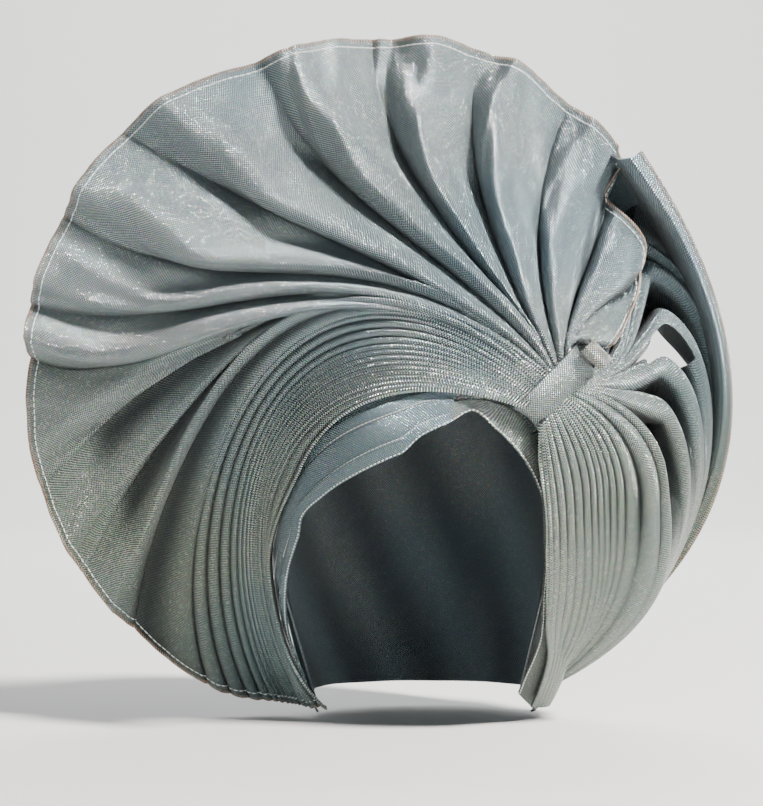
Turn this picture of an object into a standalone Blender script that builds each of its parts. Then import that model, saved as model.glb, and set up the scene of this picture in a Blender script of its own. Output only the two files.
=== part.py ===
"""Tied gele head tie: pleated cloth fan, side loops, tail, knot, brow bands and inner cap.

Metres, +Z up. The front faces -Y and the wearer's left is +X. The origin is where the crown of
the head bears inside the cap.
"""

import math

import bmesh
import bpy
import numpy as np

# Head that the cap is made for
HEAD_WIDTH = 0.158
HEAD_LENGTH = 0.196
CROWN_RISE = 0.075
HEAD_DROP = 0.175
JAW_SHAPE = 2.6
NAPE_SHIFT = 0.030
NAPE_TUCK = 0.033
NAPE_LEVEL = 0.130
SIDE_START = -0.045
SIDE_FULL = -0.020

# Cloth
CAP_WALL = 0.0012
BAND_WALL = 0.0012
FAN_WALL = 0.0012
SIDE_WALL = 0.0012
TAIL_WALL = 0.0012
KNOT_WALL = 0.0014
TAB_WALL = 0.0010
LAYER_GAP = 0.0005

# Face opening
OPENING_X = -0.005
OPENING_Z = -0.135
OPENING_RADIUS = 0.080
CAP_RECESS = 0.004
BAND_TURN = 0.985

# Fan
FAN_RADIUS = 0.179
FAN_X = -0.026
FAN_Z = -0.032
FINE_PLEAT_DEPTH = 0.0022
BIG_FOLD_DEPTH = 0.012
FAN_ROOT_PLEAT = 0.0007
PLEAT_BREADTH = 0.8
FAN_PLEATS_FULL = 0.45
FAN_HEM_EASE = 0.45
FAN_HEM_EASE_FROM = 0.65

# Side fan and loops
SIDE_PLEAT_DEPTH = 0.0020
SIDE_FADED_DEPTH = 0.0005
SIDE_PLEATS_FULL = 0.2
SIDE_PLEATS_FADE = (0.45, 0.70)
LOOP_DEPTH = 0.020
LOOP_LIMB_DEPTH = 0.0045
LOOP_PULL = 0.38
LOOP_PEAK_RISE = (0.05, 0.38)
LOOP_PEAK_FALL = (0.42, 0.56)
LOOP_LIMB_RISE = (0.02, 0.20)
LOOP_LIMB_FALL = (0.58, 0.72)
LOOP_ROLL = (0.15, 0.85)

# Tail
TAIL_PLEAT_DEPTH = 0.0026
TAIL_LIFT = 0.0074
TAIL_PLEATS_FULL = (0.05, 0.50)
TAIL_END_EASE = 0.7
TAIL_END_EASE_FROM = 0.75

# How softly cloth turns where it comes to lie on the head
HEAD_BLEND = 0.006
PLEAT_BLEND = 0.001

# Knot
KNOT_X = 0.0627
KNOT_Z = -0.0404
KNOT_FRONT = 0.089
KNOT_SLOPE = 0.007
KNOT_TILT = 45.0
KNOT_LENGTH = 0.041
KNOT_WIDTH = 0.0204
KNOT_MARGIN = 0.0045
PLEAT_STACK = 0.86
KNOT_THICKNESS = 0.018
KNOT_SQUARENESS = 3.4
KNOT_WAIST = 0.86
ROOT_TUCK = 0.004
TAB_LENGTH = 0.013
TAB_RADIUS = 0.0055
TAB_TURN = 250.0
TAB_LAP = 0.35
TAB_PROUD = 1.4

# Lengths here are shares of FAN_RADIUS from the fan's centre, depths are shares of half the head's
# length behind the brow, root is the place along the knot, and fold runs from fine pleat to big fold
FAN_COLUMNS = (
    "phase", "root", "lead_x", "lead_z", "guide_x", "guide_z",
    "hem_bearing", "hem_reach", "mid_depth", "hem_depth", "fold",
)
FAN_GUIDES = (
    (0.0, 0.00, -0.29, 0.16, -0.46, -0.47, 260.0, 0.99, -0.62, 0.16, 0.00),
    (9.0, 0.20, -0.28, 0.44, -0.58, -0.43, 252.0, 1.02, -0.58, 0.32, 0.00),
    (13.0, 0.35, -0.25, 0.60, -0.68, -0.34, 241.0, 1.05, -0.58, 0.24, 0.05),
    (14.0, 0.41, -0.28, 0.61, -0.65, -0.27, 226.0, 1.04, -0.56, 0.05, 0.35),
    (15.0, 0.45, -0.26, 0.53, -0.65, -0.17, 195.2, 1.04, -0.53, -0.12, 0.60),
    (16.0, 0.49, -0.19, 0.51, -0.68, -0.14, 175.8, 1.01, -0.53, -0.24, 0.60),
    (17.0, 0.53, -0.14, 0.48, -0.54, 0.06, 168.2, 1.02, -0.53, -0.28, 0.70),
    (18.0, 0.56, -0.03, 0.49, -0.49, 0.16, 153.0, 1.01, -0.56, -0.33, 0.80),
    (19.0, 0.58, 0.04, 0.39, -0.24, 0.40, 136.4, 1.01, -0.59, -0.37, 1.00),
    (20.0, 0.60, 0.19, 0.40, -0.19, 0.49, 109.9, 0.96, -0.63, -0.39, 1.00),
    (21.0, 0.62, 0.36, 0.26, -0.02, 0.59, 90.9, 0.96, -0.67, -0.41, 1.00),
    (22.0, 0.64, 0.39, 0.19, 0.20, 0.63, 72.3, 0.97, -0.69, -0.43, 1.00),
    (23.0, 0.68, 0.45, 0.24, 0.42, 0.50, 54.8, 0.95, -0.71, -0.43, 0.80),
    (23.6, 0.73, 0.50, 0.23, 0.59, 0.45, 43.0, 0.93, -0.71, -0.46, 0.60),
    (24.0, 0.78, 0.51, 0.18, 0.62, 0.33, 37.9, 0.81, -0.76, -0.59, 0.50),
    (24.7, 0.85, 0.52, 0.20, 0.71, 0.21, 27.4, 0.83, -0.82, -0.67, 0.40),
    (25.3, 0.87, 0.50, 0.17, 0.64, 0.12, 16.0, 0.74, -0.85, -0.73, 0.30),
    (25.8, 0.86, 0.49, 0.14, 0.59, 0.07, 8.0, 0.66, -0.88, -0.80, 0.20),
)
FINE_PLEATS_END = 13.0

# As above; corner is the peak of a loop, leave and into are headings in degrees
SIDE_COLUMNS = (
    "phase", "root", "leave", "corner_x", "corner_z", "into", "out_x", "out_z",
    "flank_x", "flank_z", "end_x", "end_z", "corner_depth", "flank_depth", "loop",
)
SIDE_GUIDES = (
    (0.0, 0.00, 272.0, 0.47, -0.47, 272.0, 0.48, -0.57, 0.49, -0.76, 0.43, -0.97, -0.73, -0.41, 0.0),
    (6.0, 0.35, 305.0, 0.59, -0.35, 272.0, 0.60, -0.55, 0.65, -0.76, 0.43, -0.98, -0.71, -0.43, 0.0),
    (11.5, 0.55, 335.0, 0.70, -0.33, 275.0, 0.71, -0.53, 0.74, -0.74, 0.42, -0.98, -0.73, -0.43, 0.2),
    (12.5, 0.62, 340.0, 0.76, -0.35, 272.0, 0.77, -0.55, 0.80, -0.74, 0.42, -0.98, -0.73, -0.43, 0.4),
    (13.5, 0.68, 350.0, 0.80, -0.30, 275.0, 0.80, -0.52, 0.86, -0.74, 0.42, -0.98, -0.73, -0.43, 0.6),
    (14.5, 0.74, 350.0, 0.80, -0.10, 350.0, 0.87, -0.24, 0.93, -0.72, 0.42, -0.98, -0.76, -0.45, 0.9),
    (15.5, 0.77, 4.0, 0.79, 0.04, 35.0, 0.96, -0.07, 0.98, -0.71, 0.42, -0.98, -0.72, -0.43, 1.0),
    (16.5, 0.80, 6.0, 0.80, 0.17, 50.0, 0.98, 0.03, 1.02, -0.70, 0.42, -0.98, -0.62, -0.34, 1.0),
    (17.5, 0.82, 6.0, 0.76, 0.31, 75.0, 0.97, 0.18, 1.03, -0.68, 0.42, -0.98, -0.51, -0.26, 1.0),
    (18.5, 0.83, 5.0, 0.70, 0.38, 95.0, 0.91, 0.22, 1.00, -0.64, 0.42, -0.98, -0.42, -0.20, 1.0),
)
SIDE_ROW_CORNER = 0.4
SIDE_END_DEPTH = 0.40
LOOPS_START = 13.0
LOOP_GAP_PHASES = (15.7, 16.3)
LOOP_GAP_ROWS = (0.37, 0.50)

TAIL_COLUMNS = (
    "phase", "top_x", "top_z", "lead_x", "lead_z", "guide_x", "guide_z", "end_x", "end_z",
    "top_depth", "mid_depth", "end_depth",
)
TAIL_GUIDES = (
    (0.0, 0.66, 0.58, 0.88, 0.13, 0.99, -0.27, 0.74, -0.63, -0.57, -0.68, -0.41),
    (0.8, 0.70, 0.47, 0.93, 0.15, 1.04, -0.27, 0.75, -0.65, -0.69, -0.74, -0.42),
    (1.5, 0.72, 0.45, 0.96, 0.21, 1.09, -0.27, 0.75, -0.66, -0.72, -0.72, -0.41),
    (2.5, 0.69, 0.59, 0.95, 0.17, 1.16, -0.33, 0.76, -0.67, -0.68, -0.68, -0.40),
    (3.0, 0.73, 0.62, 1.01, 0.16, 1.17, -0.33, 0.77, -0.68, -0.66, -0.66, -0.39),
)

# Reaches are shares of OPENING_RADIUS about the face opening's centre, bearings in degrees
OPENING_COLUMNS = ("bearing", "reach")
OPENING_EDGE = (
    (-52.0, 1.04), (-42.0, 0.94), (-30.0, 0.88), (-4.0, 0.78), (14.0, 0.80), (34.0, 0.91),
    (52.0, 1.00), (65.0, 1.06), (73.0, 1.11), (80.0, 1.01), (90.0, 0.91), (99.0, 0.81),
    (118.0, 0.78), (137.0, 0.80), (150.0, 0.83), (160.0, 0.80), (182.0, 0.84), (206.0, 0.93),
    (222.0, 1.01), (233.0, 1.13),
)
BAND_COLUMNS = ("bearing", "reach")
FOREHEAD_BAND = (
    (80.0, 1.28), (96.0, 1.28), (105.0, 1.26), (119.0, 1.24), (134.0, 1.18), (151.0, 1.10),
    (170.0, 1.04), (190.0, 1.04), (210.0, 1.08), (233.0, 1.24),
)
TEMPLE_BAND = (
    (-50.0, 1.24), (-30.0, 1.04), (9.0, 0.88), (33.0, 0.97), (47.0, 1.10), (55.0, 1.20),
    (62.0, 1.25), (75.0, 1.19), (96.0, 1.12),
)

# The cap's rim at the nape, and how far it turns in before it meets the face opening
NAPE_DROP = 0.200
NAPE_TURN = 20.0

# Mesh counts
FINE_PLEAT_SAMPLES = 3
BIG_FOLD_SAMPLES = 4
SIDE_PLEAT_SAMPLES = 2
LOOP_SAMPLES = 5
FAN_ROWS = 14
SIDE_ROWS = 15
TAIL_ROWS = 12
TAIL_COLUMNS_ACROSS = 9
BAND_STATIONS = 26
BAND_ROWS = 3
CAP_SEGMENTS = 32
CAP_RINGS = 9
KNOT_SEGMENTS = 18
KNOT_STATIONS = 5
TAB_SEGMENTS = 11
RIM_STATIONS = 60

CLOTH_COLOUR = (0.42, 0.47, 0.48, 1.0)
SHADE_COLOUR = (0.30, 0.36, 0.38, 1.0)
CAP_COLOUR = (0.24, 0.27, 0.28, 1.0)


def smooth_step(low, high, value):
    """Nought below low, one above high and a smooth rise between."""
    share = np.clip((value - low) / (high - low), 0.0, 1.0)
    return share * share * (3.0 - 2.0 * share)


def curve_through(keys, values, at):
    """A smooth curve through values at rising keys, without overshoot between them."""
    steps = np.diff(keys)
    slopes = np.diff(values) / steps
    bends = np.empty(len(keys))
    bends[0], bends[-1] = slopes[0], slopes[-1]
    same_way = slopes[:-1] * slopes[1:] > 0.0
    total = np.where(same_way, slopes[:-1] + slopes[1:], 1.0)
    bends[1:-1] = np.where(same_way, 2.0 * slopes[:-1] * slopes[1:] / total, 0.0)
    at = np.clip(at, keys[0], keys[-1])
    cell = np.clip(np.searchsorted(keys, at, side="right") - 1, 0, len(steps) - 1)
    width = steps[cell]
    share = (at - keys[cell]) / width
    rise = share * share * (3.0 - 2.0 * share)
    start = share * (1.0 - share) ** 2 * width
    stop = share * share * (share - 1.0) * width
    level = values[cell] + (values[cell + 1] - values[cell]) * rise
    return level + bends[cell] * start + bends[cell + 1] * stop


class Guides:
    """A table of guides whose columns are read smoothly at any value of the first column."""

    def __init__(self, columns, rows):
        table = np.array(rows)
        self.keys = table[:, 0]
        self.values = {name: table[:, i] for i, name in enumerate(columns)}

    def at(self, name, keys):
        return curve_through(self.keys, self.values[name], keys)


def head_section(z, clear):
    """Half width, half length and middle of the head's level section, grown by clear."""
    level = z + CROWN_RISE
    half_height = np.where(level > 0.0, CROWN_RISE, HEAD_DROP) + clear
    shape = np.where(level > 0.0, 2.0, JAW_SHAPE)
    share = np.sqrt(np.clip(1.0 - np.abs(level / half_height) ** shape, 0.0, 1.0))
    neck = (np.clip(-level, 0.0, None) / NAPE_LEVEL) ** 2
    half_length = (HEAD_LENGTH / 2 + clear) * share - NAPE_TUCK * neck
    return (HEAD_WIDTH / 2 + clear) * share, np.maximum(half_length, 0.01), NAPE_SHIFT * neck


def head_front(x, z, clear):
    """How far forward the head reaches at x and z, and where that is on its surface at all."""
    half_width, half_length, middle = head_section(z, clear)
    spread = 1.0 - (x / np.maximum(half_width, 1e-6)) ** 2
    return middle - half_length * np.sqrt(np.clip(spread, 0.0, 1.0)), spread > 0.0


def clear_of_head(points, clear, blend=HEAD_BLEND):
    """Points moved off the head and the layers on it: forward at the front, outward at the sides."""
    x, depth, z = points[..., 0], points[..., 1], points[..., 2]
    front, over = head_front(x, z, clear)
    soft = 0.5 * (depth + front - np.sqrt((depth - front) ** 2 + blend * blend))
    forward = np.where(over, np.minimum(depth, soft), depth)
    half_width, half_length, middle = head_section(z, clear)
    spread = np.hypot(x / np.maximum(half_width, 1e-6), (depth - middle) / half_length)
    push = np.where(half_width > 0.01, np.maximum(1.0, 1.0 / np.maximum(spread, 0.2)), 1.0)
    aside = smooth_step(SIDE_START, SIDE_FULL, depth)
    return np.stack(
        (
            x * (1.0 + (push - 1.0) * aside),
            forward * (1.0 - aside) + (middle + (depth - middle) * push) * aside,
            z,
        ),
        axis=-1,
    )


def layer(count):
    """Middle of the cloth that lies over the cap and count bands."""
    return CAP_WALL + count * (BAND_WALL + LAYER_GAP) + LAYER_GAP + BAND_WALL / 2


def bezier(share, first, second, third, last):
    """Point on a cubic curve; share has the rows and the four points the columns."""
    rest = 1.0 - share
    return (
        rest**3 * first
        + 3.0 * rest * rest * share * second
        + 3.0 * rest * share * share * third
        + share**3 * last
    )


def knot_axes():
    """Unit vectors along the knot's mouths and from its left mouth to its right one, in X and Z."""
    tilt = math.radians(KNOT_TILT)
    return np.array((math.cos(tilt), math.sin(tilt))), np.array((math.sin(tilt), -math.cos(tilt)))


def knot_root(share, side):
    """Where a pleat leaves the knot: share along the mouth, side -1 for the fan and 1 for the side."""
    along, across = knot_axes()
    reach = side * (KNOT_WIDTH / 2 - ROOT_TUCK)
    centre = np.array((KNOT_X, KNOT_Z)) + reach * across
    offset = np.multiply.outer(np.asarray(share) - 0.5, along) * KNOT_LENGTH * PLEAT_STACK
    return centre[0] + offset[..., 0], centre[1] + offset[..., 1]


def pleat_shape(phase):
    """Nought in the sharp valley at each whole phase and one on the broad ridge between."""
    return np.abs(np.sin(math.pi * phase)) ** PLEAT_BREADTH


def loop_shape(phase):
    """A roll at each half phase with a wide hollow between."""
    from_ridge = np.abs(phase - np.floor(phase) - 0.5) * 2.0
    return 1.0 - smooth_step(*LOOP_ROLL, from_ridge)


def grid_normals(grid):
    """Unit normals of a grid of points that face the viewer."""
    down = np.gradient(grid, axis=0)
    across = np.gradient(grid, axis=1)
    normals = np.cross(down, across)
    normals /= np.maximum(np.linalg.norm(normals, axis=-1, keepdims=True), 1e-9)
    return normals * np.where(normals[..., 1:2] > 0.0, -1.0, 1.0)


def raised(grid, heights):
    """The grid with each point moved along its normal."""
    return grid + grid_normals(grid) * heights[..., None]


def fan_surface(rows, phases):
    """Points of the main fan for rows from the knot to the hem and phases across the pleats."""
    guides = Guides(FAN_COLUMNS, FAN_GUIDES)
    half_head = HEAD_LENGTH / 2
    u = rows[:, None]
    root_x, root_z = knot_root(guides.at("root", phases), -1)
    bearing = np.radians(guides.at("hem_bearing", phases))
    reach = guides.at("hem_reach", phases) * FAN_RADIUS
    mid_depth = guides.at("mid_depth", phases) * half_head
    hem_depth = guides.at("hem_depth", phases) * half_head
    x = bezier(
        u,
        root_x,
        FAN_X + guides.at("lead_x", phases) * FAN_RADIUS,
        FAN_X + guides.at("guide_x", phases) * FAN_RADIUS,
        FAN_X + reach * np.cos(bearing),
    )
    z = bezier(
        u,
        root_z,
        FAN_Z + guides.at("lead_z", phases) * FAN_RADIUS,
        FAN_Z + guides.at("guide_z", phases) * FAN_RADIUS,
        FAN_Z + reach * np.sin(bearing),
    )
    y = bezier(u, -KNOT_FRONT, (mid_depth - KNOT_FRONT) / 2, (mid_depth + hem_depth) / 2, hem_depth)
    fold = guides.at("fold", phases)
    depth = FINE_PLEAT_DEPTH + (BIG_FOLD_DEPTH - FINE_PLEAT_DEPTH) * fold
    ease = 1.0 - FAN_HEM_EASE * fold * smooth_step(FAN_HEM_EASE_FROM, 1.0, u)
    height = FAN_ROOT_PLEAT + (depth - FAN_ROOT_PLEAT) * smooth_step(0.0, FAN_PLEATS_FULL, u) * ease
    base = clear_of_head(np.stack((x, y, z), axis=-1), layer(2) + FINE_PLEAT_DEPTH)
    pleated = raised(base, height * (pleat_shape(phases) - 0.5))
    return clear_of_head(pleated, layer(2), PLEAT_BLEND)


def side_surface(rows, phases):
    """Points of the side fan: from the knot to the loops' peaks, then down to the nape."""
    guides = Guides(SIDE_COLUMNS, SIDE_GUIDES)
    half_head = HEAD_LENGTH / 2
    root_x, root_z = knot_root(guides.at("root", phases), 1)
    root_y = KNOT_SLOPE - KNOT_FRONT
    place = {
        name: (
            FAN_X + guides.at(name + "_x", phases) * FAN_RADIUS,
            FAN_Z + guides.at(name + "_z", phases) * FAN_RADIUS,
        )
        for name in ("corner", "out", "flank", "end")
    }
    corner_y = guides.at("corner_depth", phases) * half_head
    flank_y = guides.at("flank_depth", phases) * half_head
    end_y = SIDE_END_DEPTH * half_head
    corner_x, corner_z = place["corner"]
    pull = LOOP_PULL * np.hypot(corner_x - root_x, corner_z - root_z)
    leave = np.radians(heading_between(guides, "leave", phases))
    into = np.radians(heading_between(guides, "into", phases))
    upper = rows <= SIDE_ROW_CORNER + 1e-9
    u = (rows[upper] / SIDE_ROW_CORNER)[:, None]
    inner = np.stack(
        (
            bezier(u, root_x, root_x + pull * np.cos(leave), corner_x - pull * np.cos(into), corner_x),
            root_y + (corner_y - root_y) * u,
            bezier(u, root_z, root_z + pull * np.sin(leave), corner_z - pull * np.sin(into), corner_z),
        ),
        axis=-1,
    )
    u = ((rows[~upper] - SIDE_ROW_CORNER) / (1.0 - SIDE_ROW_CORNER))[:, None]
    outer = np.stack(
        (
            bezier(u, corner_x, place["out"][0], place["flank"][0], place["end"][0]),
            bezier(u, corner_y, (corner_y + flank_y) / 2, flank_y / 2, end_y),
            bezier(u, corner_z, place["out"][1], place["flank"][1], place["end"][1]),
        ),
        axis=-1,
    )
    base = clear_of_head(np.concatenate((inner, outer)), layer(2) + SIDE_PLEAT_DEPTH)
    u = rows[:, None]
    loop = guides.at("loop", phases)
    fine = SIDE_PLEAT_DEPTH * smooth_step(0.0, SIDE_PLEATS_FULL, u) + FAN_ROOT_PLEAT
    fine = SIDE_FADED_DEPTH + (fine - SIDE_FADED_DEPTH) * (1.0 - smooth_step(*SIDE_PLEATS_FADE, u))
    peak = smooth_step(*LOOP_PEAK_RISE, u) * (1.0 - smooth_step(*LOOP_PEAK_FALL, u))
    limb = smooth_step(*LOOP_LIMB_RISE, u) * (1.0 - smooth_step(*LOOP_LIMB_FALL, u))
    deep = LOOP_LIMB_DEPTH * limb + LOOP_DEPTH * peak + SIDE_FADED_DEPTH
    fine_height = fine * (pleat_shape(phases) - 0.5)
    loop_height = deep * (loop_shape(phases) - 1.0)
    pleated = raised(base, fine_height * (1.0 - loop) + loop_height * loop)
    return clear_of_head(pleated, layer(2), PLEAT_BLEND)


def heading_between(guides, name, phases):
    """Headings read without a jump where they pass through north to east."""
    turned = np.where(guides.values[name] > 180.0, guides.values[name] - 360.0, guides.values[name])
    return curve_through(guides.keys, turned, phases)


def tail_surface(rows, phases):
    """Points of the free end, from its cut edge at the top down the right side."""
    guides = Guides(TAIL_COLUMNS, TAIL_GUIDES)
    half_head = HEAD_LENGTH / 2
    u = rows[:, None]
    places = ("top", "lead", "guide", "end")
    x = bezier(u, *(FAN_X + guides.at(place + "_x", phases) * FAN_RADIUS for place in places))
    z = bezier(u, *(FAN_Z + guides.at(place + "_z", phases) * FAN_RADIUS for place in places))
    top, mid, end = (guides.at(place + "_depth", phases) * half_head for place in ("top", "mid", "end"))
    y = bezier(u, top, (top + mid) / 2, (mid + end) / 2, end) - TAIL_LIFT
    ease = 1.0 - TAIL_END_EASE * smooth_step(TAIL_END_EASE_FROM, 1.0, u)
    height = TAIL_PLEAT_DEPTH * smooth_step(*TAIL_PLEATS_FULL, u) * ease
    return raised(np.stack((x, y, z), axis=-1), height * (pleat_shape(phases) - 0.5))


def band_surface(outer_rows, layers, bearings, shares):
    """Points of a band on the brow: shares run from the face opening to the band's outer edge."""
    opening = Guides(OPENING_COLUMNS, OPENING_EDGE)
    outer = Guides(BAND_COLUMNS, outer_rows)
    clear = layer(layers)
    near = opening.at("reach", bearings)[:, None] * OPENING_RADIUS
    far = outer.at("reach", bearings)[:, None] * OPENING_RADIUS
    reach = near + (far - near) * shares
    x = OPENING_X + reach * np.cos(np.radians(bearings))[:, None]
    z = OPENING_Z + reach * np.sin(np.radians(bearings))[:, None]
    half_width = head_section(z, clear)[0]
    x = np.clip(x, -BAND_TURN * half_width, BAND_TURN * half_width)
    return np.stack((x, head_front(x, z, clear)[0], z), axis=-1)


def cap_rim():
    """Level of the cap's rim for azimuths from the front towards -X, in rising order."""
    bearings = np.linspace(OPENING_EDGE[0][0], OPENING_EDGE[-1][0], RIM_STATIONS)
    reach = Guides(OPENING_COLUMNS, OPENING_EDGE).at("reach", bearings) * OPENING_RADIUS
    x = OPENING_X + reach * np.cos(np.radians(bearings))
    z = OPENING_Z + reach * np.sin(np.radians(bearings))
    half_width = head_section(z, 0.0)[0]
    azimuth = np.degrees(np.arcsin(np.clip(-x / half_width, -BAND_TURN, BAND_TURN)))
    azimuth = np.maximum.accumulate(azimuth + np.arange(RIM_STATIONS) * 1e-4)
    low, high = azimuth[0] - NAPE_TURN, azimuth[-1] + NAPE_TURN
    keys = np.concatenate(((-180.0, low), azimuth, (high, 180.0)))
    nape = np.full(2, -NAPE_DROP)
    return keys, np.concatenate((nape, z + CAP_RECESS, nape))


def cap_point(azimuth, share, rim):
    """Point of the cap at an azimuth from the front, share of the way from the crown to the rim."""
    rim_level = CROWN_RISE + float(np.interp(azimuth, *rim))
    if rim_level > 0.0:
        rim_turn = math.acos(rim_level / CROWN_RISE)
    else:
        rim_turn = math.pi / 2 + math.asin(-rim_level / HEAD_DROP)
    turn = share * rim_turn
    if turn < math.pi / 2:
        level = CROWN_RISE * math.cos(turn)
    else:
        level = -HEAD_DROP * math.sin(turn - math.pi / 2)
    half_width, half_length, middle = (float(v) for v in head_section(np.array(level - CROWN_RISE), 0.0))
    way = math.radians(azimuth)
    return (-half_width * math.sin(way), middle - half_length * math.cos(way), level - CROWN_RISE)


def squared(value):
    """A sine or cosine made squarer, which gives the band room at its ends."""
    return np.sign(value) * np.abs(value) ** (2.0 / KNOT_SQUARENESS)


def knot_surface(shares, turns):
    """Points of the knot band: shares run from the left mouth to the right one."""
    along, across = knot_axes()
    pinch = KNOT_WAIST + (1.0 - KNOT_WAIST) * (2.0 * shares - 1.0) ** 2
    half_long = (KNOT_LENGTH / 2 + KNOT_MARGIN) * pinch
    half_deep = KNOT_THICKNESS / 2 * pinch
    step = (shares - 0.5) * KNOT_WIDTH
    swing = squared(np.cos(turns)) * half_long[:, None]
    x = KNOT_X + step[:, None] * across[0] + swing * along[0]
    z = KNOT_Z + step[:, None] * across[1] + swing * along[1]
    y = -KNOT_FRONT + KNOT_SLOPE * shares[:, None] + squared(np.sin(turns)) * half_deep[:, None]
    return np.stack((x, y, z), axis=-1)


def tab_surface(shares, turns):
    """Points of the raw end: a part-rolled strip above the knot's upper end."""
    along, across = knot_axes()
    lift = KNOT_LENGTH / 2 + KNOT_MARGIN + TAB_RADIUS * TAB_LAP
    step = (shares - 0.5) * TAB_LENGTH
    swing = np.cos(turns) * TAB_RADIUS + lift
    x = KNOT_X + step[:, None] * across[0] + swing * along[0]
    z = KNOT_Z + step[:, None] * across[1] + swing * along[1]
    y = np.broadcast_to(np.sin(turns) * TAB_RADIUS - TAB_PROUD * TAB_RADIUS - KNOT_FRONT, x.shape)
    return np.stack((x, y, z), axis=-1)


def pleat_phases(first, last, samples):
    """Phases from first to last with the same number of samples in each pleat."""
    return np.linspace(first, last, int(round((last - first) * samples)) + 1)


def material(name, colour, roughness, metallic):
    """A cloth material with its own Principled shader."""
    made = bpy.data.materials.new(name)
    made.use_nodes = True
    shader = made.node_tree.nodes["Principled BSDF"]
    shader.inputs["Base Color"].default_value = colour
    shader.inputs["Roughness"].default_value = roughness
    shader.inputs["Metallic"].default_value = metallic
    made.diffuse_color = colour
    return made


def finish(bm, name, wall, made, offset=0.0):
    """An object from the mesh with its cloth wall, in the gele's collection."""
    mesh = bpy.data.meshes.new(name)
    bm.to_mesh(mesh)
    bm.free()
    mesh.shade_smooth()
    mesh.materials.append(made)
    piece = bpy.data.objects.new(name, mesh)
    bpy.data.collections["gele"].objects.link(piece)
    piece.parent = bpy.data.objects["gele_seat"]
    shell = piece.modifiers.new("Wall", "SOLIDIFY")
    shell.thickness = wall
    shell.offset = offset
    return piece


def sheet(name, grid, wall, made, closed=False, gap=None):
    """A cloth sheet through a grid of points; closed joins the last column to the first."""
    rows, columns = grid.shape[:2]
    bm = bmesh.new()
    bmesh.ops.create_grid(bm, x_segments=columns - 1, y_segments=rows - 1, size=0.5)
    for vertex in bm.verts:
        column = round((vertex.co.x + 0.5) * (columns - 1))
        row = round((vertex.co.y + 0.5) * (rows - 1))
        vertex.co = grid[row, column]
        if gap is not None and gap(row, column):
            vertex.tag = True
    if gap is not None:
        cut = [face for face in bm.faces if all(vertex.tag for vertex in face.verts)]
        bmesh.ops.delete(bm, geom=cut, context="FACES")
    if closed:
        bmesh.ops.remove_doubles(bm, verts=bm.verts, dist=1e-6)
    return finish(bm, name, wall, made)


def build_cap():
    """The inner cap, from a sphere's upper half."""
    rim = cap_rim()
    bm = bmesh.new()
    bmesh.ops.create_uvsphere(bm, u_segments=CAP_SEGMENTS, v_segments=2 * CAP_RINGS, radius=1.0)
    lower = [vertex for vertex in bm.verts if vertex.co.z < -0.01]
    bmesh.ops.delete(bm, geom=lower, context="VERTS")
    for vertex in bm.verts:
        azimuth = math.degrees(math.atan2(-vertex.co.x, -vertex.co.y))
        share = math.acos(max(-1.0, min(1.0, vertex.co.z))) / (math.pi / 2)
        vertex.co = cap_point(azimuth, share, rim)
    bmesh.ops.recalc_face_normals(bm, faces=bm.faces)
    return finish(bm, "head_cap", CAP_WALL, material("cap_cloth", CAP_COLOUR, 0.7, 0.1), 1.0)


def build_bands():
    """The two bands that cross on the brow."""
    shares = np.linspace(0.0, 1.0, BAND_ROWS + 1)
    forehead = np.linspace(FOREHEAD_BAND[0][0], FOREHEAD_BAND[-1][0], BAND_STATIONS)
    temple = np.linspace(TEMPLE_BAND[0][0], TEMPLE_BAND[-1][0], BAND_STATIONS)
    sheet(
        "forehead_wrap",
        band_surface(FOREHEAD_BAND, 1, forehead, shares),
        BAND_WALL,
        material("forehead_cloth", SHADE_COLOUR, 0.5, 0.3),
    )
    sheet(
        "temple_wrap",
        band_surface(TEMPLE_BAND, 0, temple, shares),
        BAND_WALL,
        material("temple_cloth", CLOTH_COLOUR, 0.5, 0.3),
    )


def build_fan():
    """The main fan, fine pleats first and the big folds after them."""
    fine = pleat_phases(FAN_GUIDES[0][0], FINE_PLEATS_END, FINE_PLEAT_SAMPLES)
    big = pleat_phases(FINE_PLEATS_END, FAN_GUIDES[-1][0], BIG_FOLD_SAMPLES)
    phases = np.concatenate((fine, big[1:]))
    rows = np.linspace(0.0, 1.0, FAN_ROWS + 1)
    cloth = material("fan_cloth", CLOTH_COLOUR, 0.35, 0.5)
    sheet("fan_cloth", fan_surface(rows, phases), FAN_WALL, cloth)


def build_side():
    """The side fan with its loops, open to the daylight between two of them."""
    fine = pleat_phases(SIDE_GUIDES[0][0], LOOPS_START, SIDE_PLEAT_SAMPLES)
    loops = pleat_phases(LOOPS_START, SIDE_GUIDES[-1][0], LOOP_SAMPLES)
    phases = np.concatenate((fine, loops[1:]))
    rows = np.linspace(0.0, 1.0, SIDE_ROWS + 1)

    def in_gap(row, column):
        across = LOOP_GAP_PHASES[0] < phases[column] < LOOP_GAP_PHASES[1]
        return across and LOOP_GAP_ROWS[0] < rows[row] < LOOP_GAP_ROWS[1]

    sheet(
        "side_cloth",
        side_surface(rows, phases),
        SIDE_WALL,
        material("side_cloth", CLOTH_COLOUR, 0.45, 0.4),
        gap=in_gap,
    )


def build_tail():
    """The free end of the cloth."""
    phases = np.linspace(TAIL_GUIDES[0][0], TAIL_GUIDES[-1][0], TAIL_COLUMNS_ACROSS + 1)
    rows = np.linspace(0.0, 1.0, TAIL_ROWS + 1)
    cloth = material("tail_cloth", CLOTH_COLOUR, 0.4, 0.4)
    sheet("tail", tail_surface(rows, phases), TAIL_WALL, cloth)


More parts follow.
